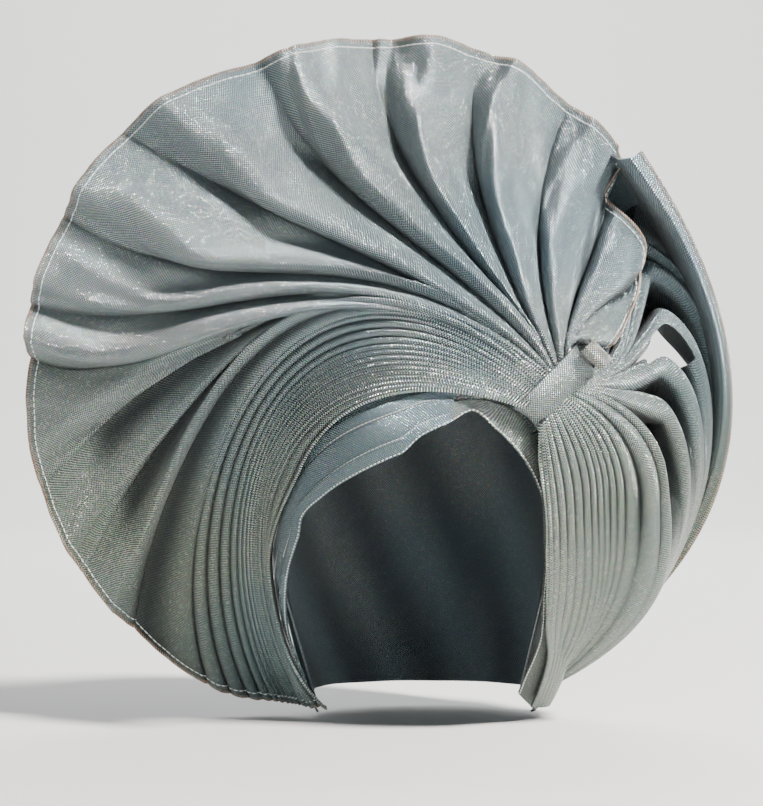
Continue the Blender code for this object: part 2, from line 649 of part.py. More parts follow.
def build_knot():
    """The band that gathers the pleats, and its raw end."""
    turns = np.linspace(0.0, 2.0 * math.pi, KNOT_SEGMENTS + 1)
    shares = np.linspace(0.0, 1.0, KNOT_STATIONS)
    cloth = material("knot_cloth", CLOTH_COLOUR, 0.45, 0.4)
    sheet("knot_band", knot_surface(shares, turns), KNOT_WALL, cloth, closed=True)
    half_turn = math.radians(TAB_TURN) / 2
    open_turns = np.linspace(-math.pi / 2 - half_turn, -math.pi / 2 + half_turn, TAB_SEGMENTS + 1)
    tab_cloth = material("tab_cloth", SHADE_COLOUR, 0.5, 0.3)
    sheet("knot_tab", tab_surface(shares, open_turns), TAB_WALL, tab_cloth)


def main():
    for leftover in list(bpy.data.objects):
        bpy.data.objects.remove(leftover, do_unlink=True)
    collection = bpy.data.collections.new("gele")
    bpy.context.scene.collection.children.link(collection)
    seat = bpy.data.objects.new("gele_seat", None)
    collection.objects.link(seat)
    build_cap()
    build_bands()
    build_fan()
    build_side()
    build_tail()
    build_knot()


main()
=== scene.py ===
"""Looks of a tied gele head tie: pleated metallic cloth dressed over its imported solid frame.

Metres, +Z up, the face opening looks along -Y and the knot lies at +X. Every cloth piece is a grid
that is laid on a surface of guides, folded into pleats and given its thickness.
"""

import logging
import math
from dataclasses import dataclass
from enum import Enum

import bpy
import numpy as np
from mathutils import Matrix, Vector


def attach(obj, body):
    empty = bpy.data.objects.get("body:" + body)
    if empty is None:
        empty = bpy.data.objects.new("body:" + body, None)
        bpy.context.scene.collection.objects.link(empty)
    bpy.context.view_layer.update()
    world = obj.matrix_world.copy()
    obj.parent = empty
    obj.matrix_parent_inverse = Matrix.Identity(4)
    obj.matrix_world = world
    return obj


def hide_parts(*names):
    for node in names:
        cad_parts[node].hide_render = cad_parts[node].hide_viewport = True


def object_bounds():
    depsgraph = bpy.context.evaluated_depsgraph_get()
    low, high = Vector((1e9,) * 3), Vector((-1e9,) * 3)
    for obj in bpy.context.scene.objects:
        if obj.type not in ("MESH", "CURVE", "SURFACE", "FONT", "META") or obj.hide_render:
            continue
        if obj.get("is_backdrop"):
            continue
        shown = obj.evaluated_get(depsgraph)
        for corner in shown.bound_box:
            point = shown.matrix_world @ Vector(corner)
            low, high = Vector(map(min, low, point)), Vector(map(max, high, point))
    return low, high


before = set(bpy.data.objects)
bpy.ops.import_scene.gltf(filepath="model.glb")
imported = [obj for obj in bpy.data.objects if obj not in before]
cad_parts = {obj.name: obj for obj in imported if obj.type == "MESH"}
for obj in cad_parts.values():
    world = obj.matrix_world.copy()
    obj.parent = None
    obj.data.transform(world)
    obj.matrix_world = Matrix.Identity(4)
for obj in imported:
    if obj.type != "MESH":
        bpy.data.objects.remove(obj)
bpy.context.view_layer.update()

log = logging.getLogger("gele")

BODY = "root"
IMAGE_WIDTH = 763
FOCAL_PIXELS = 2400
SENSOR_MM = 36.0
TINY = 1e-6
LEAST_LENGTH = 1e-12
FULL_TURN = 2.0 * math.pi
SMOOTH_UNDER = math.radians(60.0)
VALLEY_EASE = 0.085
VALLEY_SHARPNESS = 0.7
LYING_BEND = 0.006
TOUCHING_BEND = 0.001
FOLD_SHIFT = 0.137
OWN_LENGTH = 0.5
WANDER_WAVES = ((0.5, 2.1, 1.7, 0.0), (0.3, 4.7, 2.9, 1.3), (0.2, 8.3, 0.7, 4.1))

Colour = tuple[float, float, float, float]
Span = tuple[float, float]


class Slot(Enum):
    """Material slots of the record."""

    BRIGHT = "bright_cloth"
    # The shaded slot holds a darker, bluer copy of the bright cloth: painted shade.
    SHADED = "shaded_cloth"
    CAP = "cap_cloth"


class Held(Enum):
    """How a sheet of cloth is held."""

    GATHERED = "gathered"
    STRETCHED = "stretched"
    FOLDED = "folded"


def smooth_step(low: float, high: float, value: np.ndarray) -> np.ndarray:
    """Rise smoothly from nought to one.

    Args:
        low: Value at which the rise starts.
        high: Value at which it is complete.
        value: Where to read it.

    Returns:
        Nought below low, one above high.
    """
    share = np.clip((value - low) / (high - low), 0.0, 1.0)
    return share * share * (3.0 - 2.0 * share)


def bezier(share: np.ndarray, *ends: np.ndarray) -> np.ndarray:
    """Read a cubic curve.

    Args:
        share: Way along the curve, from nought to one.
        *ends: Its four control values.

    Returns:
        The curve's value at each share.
    """
    first, second, third, last = ends
    rest = 1.0 - share
    return (
        rest**3 * first
        + 3.0 * rest * rest * share * second
        + 3.0 * rest * share * share * third
        + share**3 * last
    )


def wander(places: np.ndarray, seed: float) -> np.ndarray:
    """Read a slow irregular wave, which keeps neighbouring folds from being alike.

    Args:
        places: Where to read it. Its slowest part repeats after three units.
        seed: Shifts the wave.

    Returns:
        Values between about minus one and one.
    """
    return sum(
        share * np.sin(rate * places + shift * seed + start) for share, rate, shift, start in WANDER_WAVES
    )


class GuideTable:
    """Guides whose columns are read smoothly, without overshoot, at any value of the first one."""

    def __init__(self, columns: str, rows: tuple[tuple[float, ...], ...]) -> None:
        """Take the table in.

        Args:
            columns: Names of the columns, with spaces between.
            rows: One guide each, in rising order of the first column.
        """
        table = np.array(rows)
        self.keys: np.ndarray = table[:, 0]
        self.values: dict[str, np.ndarray] = {
            name: table[:, place] for place, name in enumerate(columns.split())
        }

    def at(self, name: str, where: np.ndarray) -> np.ndarray:
        """Return one column's values at values of the first column."""
        return self.read(self.values[name], where)

    def heading(self, name: str, where: np.ndarray) -> np.ndarray:
        """Return a column of headings in radians, read without a jump at east."""
        degrees = self.values[name]
        return np.radians(self.read(np.where(degrees > 180.0, degrees - 360.0, degrees), where))

    def places(self, names: str, where: np.ndarray) -> tuple[list[np.ndarray], list[np.ndarray]]:
        """Read where guides run.

        Args:
            names: Names of the points, with spaces between.
            where: Values of the first column.

        Returns:
            Places across and places up, one array for each point.
        """
        points = names.split()
        across = [LAYOUT.across(self.at(name + "_x", where)) for name in points]
        return across, [LAYOUT.up(self.at(name + "_z", where)) for name in points]

    def depths(self, names: str, where: np.ndarray) -> list[np.ndarray]:
        """Return the depths of guides, whose names have spaces between."""
        return [self.at(name + "_depth", where) * HALF_HEAD for name in names.split()]

    def read(self, values: np.ndarray, where: np.ndarray) -> np.ndarray:
        """Read values that are given for each guide.

        Args:
            values: One value for each guide.
            where: Values of the first column.

        Returns:
            The values there.
        """
        keys = self.keys
        steps = np.diff(keys)
        slopes = np.diff(values) / steps
        bends = np.empty(len(keys))
        bends[0], bends[-1] = slopes[0], slopes[-1]
        same_way = slopes[:-1] * slopes[1:] > 0.0
        total = np.where(same_way, slopes[:-1] + slopes[1:], 1.0)
        bends[1:-1] = np.where(same_way, 2.0 * slopes[:-1] * slopes[1:] / total, 0.0)
        where = np.clip(where, keys[0], keys[-1])
        cell = np.clip(np.searchsorted(keys, where, side="right") - 1, 0, len(steps) - 1)
        width = steps[cell]
        share = (where - keys[cell]) / width
        level = values[cell] + (values[cell + 1] - values[cell]) * share * share * (3.0 - 2.0 * share)
        start = share * (1.0 - share) ** 2 * width
        stop = share * share * (share - 1.0) * width
        return level + bends[cell] * start + bends[cell + 1] * stop


@dataclass(frozen=True)
class Head:
    """The egg-shaped adult head that the cloth is tied for. Its crown is at the origin."""

    width: float = 0.158
    length: float = 0.196
    crown_rise: float = 0.075
    drop: float = 0.175
    jaw_shape: float = 2.6
    nape_shift: float = 0.030
    nape_tuck: float = 0.033
    nape_level: float = 0.130
    side_start: float = -0.045
    side_full: float = -0.020
    least: float = 0.010
    least_spread: float = 0.2

    def section(self, z: np.ndarray, clear: float) -> tuple[np.ndarray, np.ndarray, np.ndarray]:
        """Cut the head level.

        Args:
            z: Heights of the cuts.
            clear: How far outside the head the section lies.

        Returns:
            Half width, half length and middle of each section.
        """
        level = z + self.crown_rise
        half_height = np.where(level > 0.0, self.crown_rise, self.drop) + clear
        shape = np.where(level > 0.0, 2.0, self.jaw_shape)
        share = np.sqrt(np.clip(1.0 - np.abs(level / half_height) ** shape, 0.0, 1.0))
        neck = (np.clip(-level, 0.0, None) / self.nape_level) ** 2
        half_length = (self.length / 2 + clear) * share - self.nape_tuck * neck
        return (self.width / 2 + clear) * share, np.maximum(half_length, self.least), self.nape_shift * neck

    def front(self, x: np.ndarray, z: np.ndarray, clear: float) -> tuple[np.ndarray, np.ndarray]:
        """Find the front of the head.

        Args:
            x: Places across.
            z: Places up.
            clear: How far outside the head.

        Returns:
            The depth of the front there, and whether the head is there at all.
        """
        half_width, half_length, middle = self.section(z, clear)
        spread = 1.0 - (x / np.maximum(half_width, TINY)) ** 2
        return middle - half_length * np.sqrt(np.clip(spread, 0.0, 1.0)), spread > 0.0

    def keep_off(self, points: np.ndarray, clear: float, blend: float) -> np.ndarray:
        """Move cloth off the head: forward at the front and outward at the sides.

        Args:
            points: Points of the cloth.
            clear: Least distance from the head.
            blend: How softly the cloth turns where it comes to lie on the head.

        Returns:
            The moved points.
        """
        x, depth, z = points[..., 0], points[..., 1], points[..., 2]
        front, over = self.front(x, z, clear)
        soft = 0.5 * (depth + front - np.sqrt((depth - front) ** 2 + blend * blend))
        forward = np.where(over, np.minimum(depth, soft), depth)
        half_width, half_length, middle = self.section(z, clear)
        spread = np.hypot(x / np.maximum(half_width, TINY), (depth - middle) / half_length)
        outward = np.maximum(1.0, 1.0 / np.maximum(spread, self.least_spread))
        push = np.where(half_width > self.least, outward, 1.0)
        aside = smooth_step(self.side_start, self.side_full, depth)
        moved_x = x * (1.0 + (push - 1.0) * aside)
        moved_y = forward * (1.0 - aside) + (middle + (depth - middle) * push) * aside
        return np.stack((moved_x, moved_y, z), axis=-1)


@dataclass(frozen=True)
class Layout:
    """Sizes that the pieces share: the fan's circle, the cloth's layers and the knot's place."""

    fan_x: float = -0.026
    fan_z: float = -0.032
    fan_radius: float = 0.179
    wall: float = 0.0012
    gap: float = 0.0005
    knot_x: float = 0.0627
    knot_z: float = -0.0404
    knot_front: float = 0.089
    knot_slope: float = 0.007
    knot_tilt: float = math.radians(45.0)
    knot_length: float = 0.041
    knot_width: float = 0.0204
    pleat_stack: float = 0.86
    root_tuck: float = 0.004
    opening_x: float = -0.005
    opening_z: float = -0.135
    opening_radius: float = 0.080

    def layer(self, count: int) -> float:
        """Return the middle of the cloth that lies over the cap and count bands."""
        return self.wall + count * (self.wall + self.gap) + self.gap + self.wall / 2

    def across(self, share: np.ndarray) -> np.ndarray:
        """Return the place across of a share of the fan's radius."""
        return self.fan_x + share * self.fan_radius

    def up(self, share: np.ndarray) -> np.ndarray:
        """Return the height of a share of the fan's radius."""
        return self.fan_z + share * self.fan_radius

    def knot_axes(self) -> tuple[np.ndarray, np.ndarray]:
        """Return unit vectors along the knot's mouths and from the left mouth to the right, in X and Z."""
        c, s = math.cos(self.knot_tilt), math.sin(self.knot_tilt)
        return np.array((c, s)), np.array((s, -c))

    def on_knot(self, step: np.ndarray, swing: np.ndarray) -> tuple[np.ndarray, np.ndarray]:
        """Return places across and up, from steps across the knot and along its mouths."""
        along, across = self.knot_axes()
        x = self.knot_x + step * across[0] + swing * along[0]
        return x, self.knot_z + step * across[1] + swing * along[1]

    def root(self, share: np.ndarray, side: int) -> tuple[np.ndarray, np.ndarray]:
        """Find where a pleat leaves the knot.

        Args:
            share: Place along the mouth, from nought at its lower end to one.
            side: Minus one for the fan and one for the side cloth.

        Returns:
            Places across and up.
        """
        along, across = self.knot_axes()
        reach = side * (self.knot_width / 2 - self.root_tuck)
        centre = np.array((self.knot_x, self.knot_z)) + reach * across
        offset = np.multiply.outer(share - 0.5, along) * self.knot_length * self.pleat_stack
        return centre[0] + offset[..., 0], centre[1] + offset[..., 1]


HEAD = Head()
LAYOUT = Layout()
HALF_HEAD = HEAD.length / 2

FAN_GUIDES = GuideTable(
    "phase root lead_x lead_z guide_x guide_z hem_bearing hem_reach mid_depth hem_depth fold",
    (
        (-1.4, 0, -0.27, 0.13, -0.4, -0.48, 263.5, 0.975, -0.45, 0.04, 0),
        (0, 0, -0.29, 0.16, -0.46, -0.47, 260, 0.99, -0.62, 0.16, 0),
        (9, 0.2, -0.28, 0.44, -0.58, -0.43, 252, 1.02, -0.58, 0.32, 0),
        (13, 0.35, -0.25, 0.6, -0.68, -0.34, 241, 1.05, -0.58, 0.24, 0.05),
        (14, 0.4, -0.28, 0.61, -0.65, -0.27, 226, 1.035, -0.56, 0.08, 0.35),
        (15, 0.43, -0.16, 0.57, -0.63, -0.1, 214, 1.04, -0.54, -0.02, 0.45),
        (16, 0.46, -0.05, 0.49, -0.67, 0.04, 199, 1.03, -0.53, -0.12, 0.6),
        (17, 0.49, -0.16, 0.5, -0.68, -0.13, 177, 1.01, -0.53, -0.24, 0.6),
        (18, 0.53, -0.14, 0.48, -0.54, 0.06, 168.2, 1.02, -0.53, -0.28, 0.7),
        (19, 0.56, -0.03, 0.49, -0.49, 0.16, 153, 1.01, -0.56, -0.33, 0.8),
        (20, 0.58, 0.04, 0.39, -0.24, 0.4, 136.4, 1.01, -0.59, -0.37, 1),
        (21, 0.6, 0.19, 0.4, -0.19, 0.49, 109.9, 0.96, -0.63, -0.39, 1),
        (22, 0.62, 0.36, 0.26, -0.02, 0.59, 90.9, 0.96, -0.67, -0.41, 1),
        (23, 0.64, 0.39, 0.19, 0.2, 0.63, 72.3, 0.97, -0.69, -0.43, 1),
        (24, 0.68, 0.45, 0.24, 0.42, 0.5, 54.8, 0.95, -0.71, -0.43, 0.8),
        (24.6, 0.73, 0.5, 0.23, 0.59, 0.45, 43, 0.93, -0.71, -0.46, 0.6),
        (25, 0.78, 0.51, 0.18, 0.62, 0.33, 37.9, 0.81, -0.76, -0.59, 0.5),
        (25.7, 0.85, 0.52, 0.2, 0.71, 0.21, 27.4, 0.83, -0.82, -0.67, 0.4),
        (26.3, 0.87, 0.5, 0.17, 0.64, 0.12, 16, 0.74, -0.85, -0.73, 0.3),
        (26.8, 0.86, 0.49, 0.14, 0.59, 0.07, 8, 0.66, -0.88, -0.8, 0.2),
        (27.5, 0.9, 0.47, 0.06, 0.54, 0.01, 2, 0.62, -0.62, -0.45, 0.1),
        (28.2, 0.92, 0.46, 0.02, 0.5, -0.03, -6, 0.61, -0.5, -0.36, 0.05),
    ),
)
SIDE_GUIDES = GuideTable(
    "phase root leave corner_x corner_z into out_x out_z flank_x flank_z end_x end_z"
    " corner_depth flank_depth end_depth loop",
    (
        (-1.2, 0, 270, 0.462, -0.46, 272, 0.475, -0.56, 0.495, -0.75, 0.43, -0.97, -0.62, -0.5, 0.06, 0),
        (0, 0, 272, 0.47, -0.47, 272, 0.48, -0.57, 0.49, -0.76, 0.43, -0.97, -0.7, -0.62, 0.05, 0),
        (6, 0.35, 305, 0.59, -0.35, 272, 0.6, -0.55, 0.65, -0.76, 0.43, -0.98, -0.71, -0.5, 0.25, 0),
        (11.5, 0.55, 335, 0.7, -0.33, 275, 0.71, -0.53, 0.74, -0.74, 0.42, -0.98, -0.73, -0.43, 0.4, 0.2),
        (12.5, 0.62, 340, 0.76, -0.35, 272, 0.77, -0.55, 0.8, -0.74, 0.42, -0.98, -0.73, -0.43, 0.4, 0.5),
        (13.5, 0.68, 350, 0.8, -0.3, 275, 0.83, -0.52, 0.87, -0.74, 0.42, -0.98, -0.73, -0.43, 0.4, 0.8),
        (14.5, 0.74, 350, 0.8, -0.1, 345, 0.93, -0.24, 0.94, -0.72, 0.42, -0.98, -0.76, -0.45, 0.4, 1),
        (15.5, 0.77, 4, 0.79, 0.04, 35, 1, -0.05, 0.99, -0.71, 0.42, -0.98, -0.72, -0.43, 0.4, 1),
        (16.5, 0.8, 6, 0.8, 0.17, 50, 1.04, 0.06, 1.03, -0.7, 0.42, -0.98, -0.64, -0.36, 0.4, 1),
        (17.5, 0.82, 6, 0.76, 0.31, 75, 1.1, 0.2, 1.06, -0.68, 0.42, -0.98, -0.56, -0.32, 0.4, 1),
        (18.5, 0.83, 12, 0.7, 0.4, 85, 1.14, 0.24, 1.1, -0.64, 0.42, -0.98, -0.5, -0.28, 0.4, 1),
        (19.5, 0.9, 50, 0.58, 0.42, 95, 1.08, 0.32, 1.12, -0.62, 0.42, -0.98, -0.3, -0.2, 0.4, 1),
    ),
)
TAIL_GUIDES = GuideTable(
    "phase top_x top_z lead_x lead_z guide_x guide_z end_x end_z top_depth mid_depth end_depth",
    (
        (-1.4, 0.53, 0.6, 0.84, 0.26, 1.22, -0.1, 0.6, -0.74, -0.34, -0.1, 0.4),
        (-0.6, 0.65, 0.625, 0.94, 0.24, 1.13, -0.28, 0.61, -0.75, -0.4, -0.25, 0.36),
        (0, 0.675, 0.6, 0.99, 0.2, 1.14, -0.3, 0.62, -0.77, -0.6, -0.66, 0.3),
        (1.5, 0.7, 0.6, 1.02, 0.18, 1.15, -0.34, 0.63, -0.79, -0.66, -0.7, 0.28),
        (3, 0.73, 0.62, 1.05, 0.15, 1.165, -0.38, 0.65, -0.8, -0.66, -0.66, 0.28),
    ),
)
FACE_OPENING = GuideTable(
    "bearing reach",
    (
        (-52, 1.04), (-42, 0.94), (-30, 0.88), (-4, 0.78), (14, 0.8), (34, 0.91), (52, 1), (65, 1.06),
        (73, 1.11), (80, 1.01), (90, 0.91), (99, 0.81), (118, 0.78), (137, 0.8), (150, 0.83),
        (160, 0.8), (182, 0.84), (206, 0.93), (222, 1.01), (233, 1.13),
    ),
)
FOREHEAD_EDGE = GuideTable(
    "bearing reach",
    (
        (80, 1.28), (96, 1.28), (105, 1.26), (119, 1.24), (134, 1.18), (151, 1.1), (170, 1.04),
        (190, 1.04), (210, 1.08), (233, 1.2),
    ),
)
TEMPLE_EDGE = GuideTable(
    "bearing reach",
    (
        (-50, 1.24), (-30, 1.04), (9, 0.88), (33, 0.97), (47, 1.1), (55, 1.2), (62, 1.25), (75, 1.19),
        (96, 1.12),
    ),
)


def normals_of(grid: np.ndarray) -> np.ndarray:
    """Find the normals of a grid of points.

    Args:
        grid: Points in rows and columns.

    Returns:
        Unit normals that face forward.
    """
    normals = np.cross(np.gradient(grid, axis=0), np.gradient(grid, axis=1))
    normals /= np.maximum(np.linalg.norm(normals, axis=-1, keepdims=True), LEAST_LENGTH)
    return normals * np.where(normals[..., 1:2] > 0.0, -1.0, 1.0)


def even_phases(first: float, last: float, samples: int) -> np.ndarray:
    """Sample pleats so that each valley is sharp.

    Args:
        first: First phase.
        last: Last phase.
        samples: Samples in each pleat.

    Returns:
        Rising phases, closer together beside each whole one.
    """
    steps = np.linspace(0.0, 1.0, samples + 1)[:-1]
    eased = steps - VALLEY_EASE * np.sin(FULL_TURN * steps)
    whole = np.arange(math.floor(first), math.ceil(last))
    phases = (whole[:, None] + eased[None, :]).ravel()
    inside = phases[(phases > first + TINY) & (phases < last - TINY)]
    return np.concatenate(((first,), inside, (last,)))


def valley_height(phases: np.ndarray) -> np.ndarray:
    """Return how high each place lies in its pleat, with a sharp valley at each whole phase."""
    return np.abs(np.sin(math.pi * phases)) ** VALLEY_SHARPNESS


def pleat_numbers(phases: np.ndarray) -> np.ndarray:
    """Return the pleat that each strip between two columns belongs to."""
    return np.floor((phases[1:] + phases[:-1]) / 2).astype(int)


def evened(rows: np.ndarray, rounds: int, near: np.ndarray | float = 1.0) -> np.ndarray:
    """Even out rows by averaging neighbours.

    Args:
        rows: The rows, one after another.
        rounds: How often each is averaged with its neighbours.
        near: How far each inner row goes to the average.

    Returns:
        The evened rows, with the first and the last kept.
    """
    kept = rows.copy()
    for _ in range(rounds):
        even = 0.25 * kept[:-2] + 0.5 * kept[1:-1] + 0.25 * kept[2:]
        kept[1:-1] += (even - kept[1:-1]) * near
    return kept


def lengths_along(line: np.ndarray) -> np.ndarray:
    """Return how far along a line each of its points lies."""
    steps = np.linalg.norm(np.diff(line, axis=0), axis=-1)
    return np.concatenate(((0.0,), np.cumsum(steps)))


def read_line(at: np.ndarray, length: np.ndarray, vectors: np.ndarray) -> np.ndarray:
    """Read vectors that are given along a line.

    Args:
        at: Lengths along the line to read at.
        length: Lengths along the line that the vectors are given at.
        vectors: The vectors.

    Returns:
        The vectors at the lengths asked for.
    """
    return np.stack([np.interp(at, length, vectors[:, axis]) for axis in range(3)], axis=-1)


def deselect() -> None:
    """Leave nothing selected, so that an operator acts on the new piece alone."""
    bpy.ops.object.select_all(action="DESELECT")


def make_active(piece: bpy.types.Object) -> None:
    """Select one piece and nothing else."""
    deselect()
    piece.select_set(True)
    bpy.context.view_layer.objects.active = piece


class ClothGrid:
    """A grid of points that becomes a sheet of cloth with weave coordinates in metres."""

    def __init__(self, name: str, points: np.ndarray, folds: np.ndarray, height: np.ndarray) -> None:
        """Keep what the sheet is made from.

        Args:
            name: Name of the piece.
            points: Points in rows along the cloth and columns across it.
            folds: The fold that each strip between two columns belongs to.
            height: How much painted light each point gets, from nought in a valley, where painted shade is
                darkest, to one.
        """
        self.name = name
        self.points = points
        self.folds = folds
        self.height = height

    def weave_places(self) -> tuple[np.ndarray, np.ndarray]:
        """Measure the cloth.

        Returns:
            Length across, and length along, at each point.
        """
        across = np.linalg.norm(np.diff(self.points, axis=1), axis=-1)
        along = np.linalg.norm(np.diff(self.points, axis=0), axis=-1)
        zero_column = np.zeros((self.points.shape[0], 1))
        zero_row = np.zeros((1, self.points.shape[1]))
        return (
            np.concatenate((zero_column, np.cumsum(across, axis=1)), axis=1),
            np.concatenate((zero_row, np.cumsum(along, axis=0)), axis=0),
        )

    def build(self) -> bpy.types.Object:
        """Lay a primitive grid on the points.

        Returns:
            The sheet, still without thickness.
        """
        rows, columns = self.points.shape[:2]
        deselect()
        bpy.ops.mesh.primitive_grid_add(
            x_subdivisions=columns - 1, y_subdivisions=rows - 1, size=1.0, calc_uvs=True
        )
        piece = bpy.context.object
        piece.name = self.name
        mesh = piece.data
        mesh.name = self.name
        flat = np.empty(len(mesh.vertices) * 3)
        mesh.vertices.foreach_get("co", flat)
        flat = flat.reshape(-1, 3)
        column = np.rint((flat[:, 0] + 0.5) * (columns - 1)).astype(int)
        row = np.rint((flat[:, 1] + 0.5) * (rows - 1)).astype(int)
        mesh.vertices.foreach_set("co", self.points[row, column].astype(np.float32).ravel())
        self.lay_weave(mesh, row, column)
        # The ridge attribute carries painted shade: the cloth's material darkens where it is low.
        ridge = mesh.attributes.new("ridge", "FLOAT", "POINT")
        ridge.data.foreach_set("value", self.height[row, column].astype(np.float32))
        mesh.update()
        return piece

    def lay_weave(self, mesh: bpy.types.Mesh, row: np.ndarray, column: np.ndarray) -> None:
        """Write weave coordinates that run true along each fold's own ridge.

        Args:
            mesh: The sheet's mesh.
            row: Row of each vertex.
            column: Column of each vertex.
        """
        across, along = self.weave_places()
        corners = np.empty(len(mesh.loops), dtype=np.int64)
        mesh.loops.foreach_get("vertex_index", corners)
        corner_row, corner_column = row[corners], column[corners]
        strip = np.repeat(corner_column.reshape(-1, 4).min(axis=1), 4)
        fold = self.folds[strip]
        starts = {int(f): int(np.flatnonzero(self.folds == f).mean()) for f in np.unique(self.folds)}
        middle = np.array([starts[int(f)] for f in self.folds])[strip]
        centre = along[corner_row, middle]
        u = across[corner_row, corner_column] - across[corner_row, middle] + FOLD_SHIFT * fold
        v = centre + (along[corner_row, corner_column] - centre) * OWN_LENGTH
        places = np.stack((u, v), axis=-1).astype(np.float32)
        mesh.uv_layers.active.data.foreach_set("uv", places.ravel())


def plain_sheet(name: str, points: np.ndarray) -> bpy.types.Object:
    """Return a sheet that has no pleats."""
    folds = np.zeros(points.shape[1] - 1, dtype=int)
    return ClothGrid(name, points, folds, np.ones(points.shape[:2])).build()


def thicken(piece: bpy.types.Object, wall: float) -> None:
    """Give a sheet its thickness, half of it on each side, and smooth its shading.

    Args:
        piece: The sheet.
        wall: Its thickness.
    """
    make_active(piece)
    bpy.ops.object.modifier_add(type="SOLIDIFY")
    made = piece.modifiers[-1]
    made.thickness = wall
    made.offset = 0.0
    made.use_even_offset = False
    bpy.ops.object.modifier_apply(modifier=made.name)
    bpy.ops.object.shade_smooth_by_angle(angle=SMOOTH_UNDER)


def close_seam(piece: bpy.types.Object, within: float) -> None:
    """Join the edges of a sheet that meet, and face the sheet outward.

    Args:
        piece: The sheet before it has its thickness.
        within: How far apart the points that are joined may lie.
    """
    make_active(piece)
    bpy.ops.object.mode_set(mode="EDIT")
    bpy.ops.mesh.select_all(action="SELECT")
    bpy.ops.mesh.remove_doubles(threshold=within)
    bpy.ops.mesh.normals_make_consistent(inside=False)
    bpy.ops.object.mode_set(mode="OBJECT")


MIX_SHARE, MIX_FIRST, MIX_SECOND, MIX_RESULT = 0, 6, 7, 2
CELLS_PER_THREAD = 2.0
THREAD_EDGE = (-0.35, 0.45)
# Weave cells whose chance lies in this span are painted white: painted glints.
PAINTED_GLINT_CHANCE = (0.86, 1.0)
WHITE = (1.0, 1.0, 1.0, 1.0)
MIDDLE_GREY = (0.5, 0.5, 0.5, 1.0)


class NodeBoard:
    """A node tree that is wired by short calls."""

    def __init__(self, tree: bpy.types.NodeTree) -> None:
        """Take the tree in."""
        self.tree = tree

    def fill(self, node: bpy.types.Node, inputs: dict[int | str, object]) -> None:
        """Set or link a node's inputs.

        Args:
            node: The node.
            inputs: Values or output sockets, by the input's name or place.
        """
        for place, value in inputs.items():
            if isinstance(value, bpy.types.NodeSocket):
                self.tree.links.new(value, node.inputs[place])
            else:
                node.inputs[place].default_value = value

    def add(
        self, kind: str, inputs: dict[int | str, object] | None = None, **settings: object
    ) -> bpy.types.Node:
        """Add a node.

        Args:
            kind: The node's type, such as ShaderNodeMath.
            inputs: Values or output sockets for its inputs, by name or place.
            **settings: The node's own settings.

        Returns:
            The node.
        """
        node = self.tree.nodes.new(kind)
        for name, value in settings.items():
            setattr(node, name, value)
        self.fill(node, inputs or {})
        return node

    def math(self, operation: str, *values: object) -> bpy.types.NodeSocket:
        """Return what a Math node makes of numbers or sockets."""
        return self.add("ShaderNodeMath", dict(enumerate(values)), operation=operation).outputs[0]

    def vector(self, operation: str, *values: object) -> bpy.types.NodeSocket:
        """Return what a Vector Math node makes of vectors or sockets."""
        return self.add("ShaderNodeVectorMath", dict(enumerate(values)), operation=operation).outputs[0]

    def scaled(self, value: bpy.types.NodeSocket, factor: object) -> bpy.types.NodeSocket:
        """Return a vector times a factor."""
        return self.add("ShaderNodeVectorMath", {0: value, "Scale": factor}, operation="SCALE").outputs[0]

    def blend(self, share: object, first: object, second: object, way: str = "MIX") -> bpy.types.NodeSocket:
        """Mix two colours.

        Args:
            share: How much of the second, a number or a socket.
            first: A colour or a socket.
            second: A colour or a socket.
            way: How the second acts on the first.

        Returns:
            The mixed colour's socket.
        """
        inputs = {MIX_SHARE: share, MIX_FIRST: first, MIX_SECOND: second}
        node = self.add("ShaderNodeMix", inputs, data_type="RGBA", clamp_factor=True, blend_type=way)
        return node.outputs[MIX_RESULT]

    def spread(self, value: bpy.types.NodeSocket, low: float, high: float) -> bpy.types.NodeSocket:
        """Return nought to one as the value goes from low to high, held at both ends."""
        inputs = {"Value": value, "From Min": low, "From Max": high}
        node = self.add("ShaderNodeMapRange", inputs, clamp=True, interpolation_type="SMOOTHSTEP")
        return node.outputs["Result"]

    def own_place(self) -> bpy.types.NodeSocket:
        """Return the place on the piece itself."""
        return self.add("ShaderNodeTexCoord").outputs["Object"]

    def noise(self, scale: float, detail: float) -> bpy.types.NodeSocket:
        """Return a noise pattern that stays on the piece."""
        inputs = {"Vector": self.own_place(), "Scale": scale, "Detail": detail}
        return self.add("ShaderNodeTexNoise", inputs).outputs["Fac"]


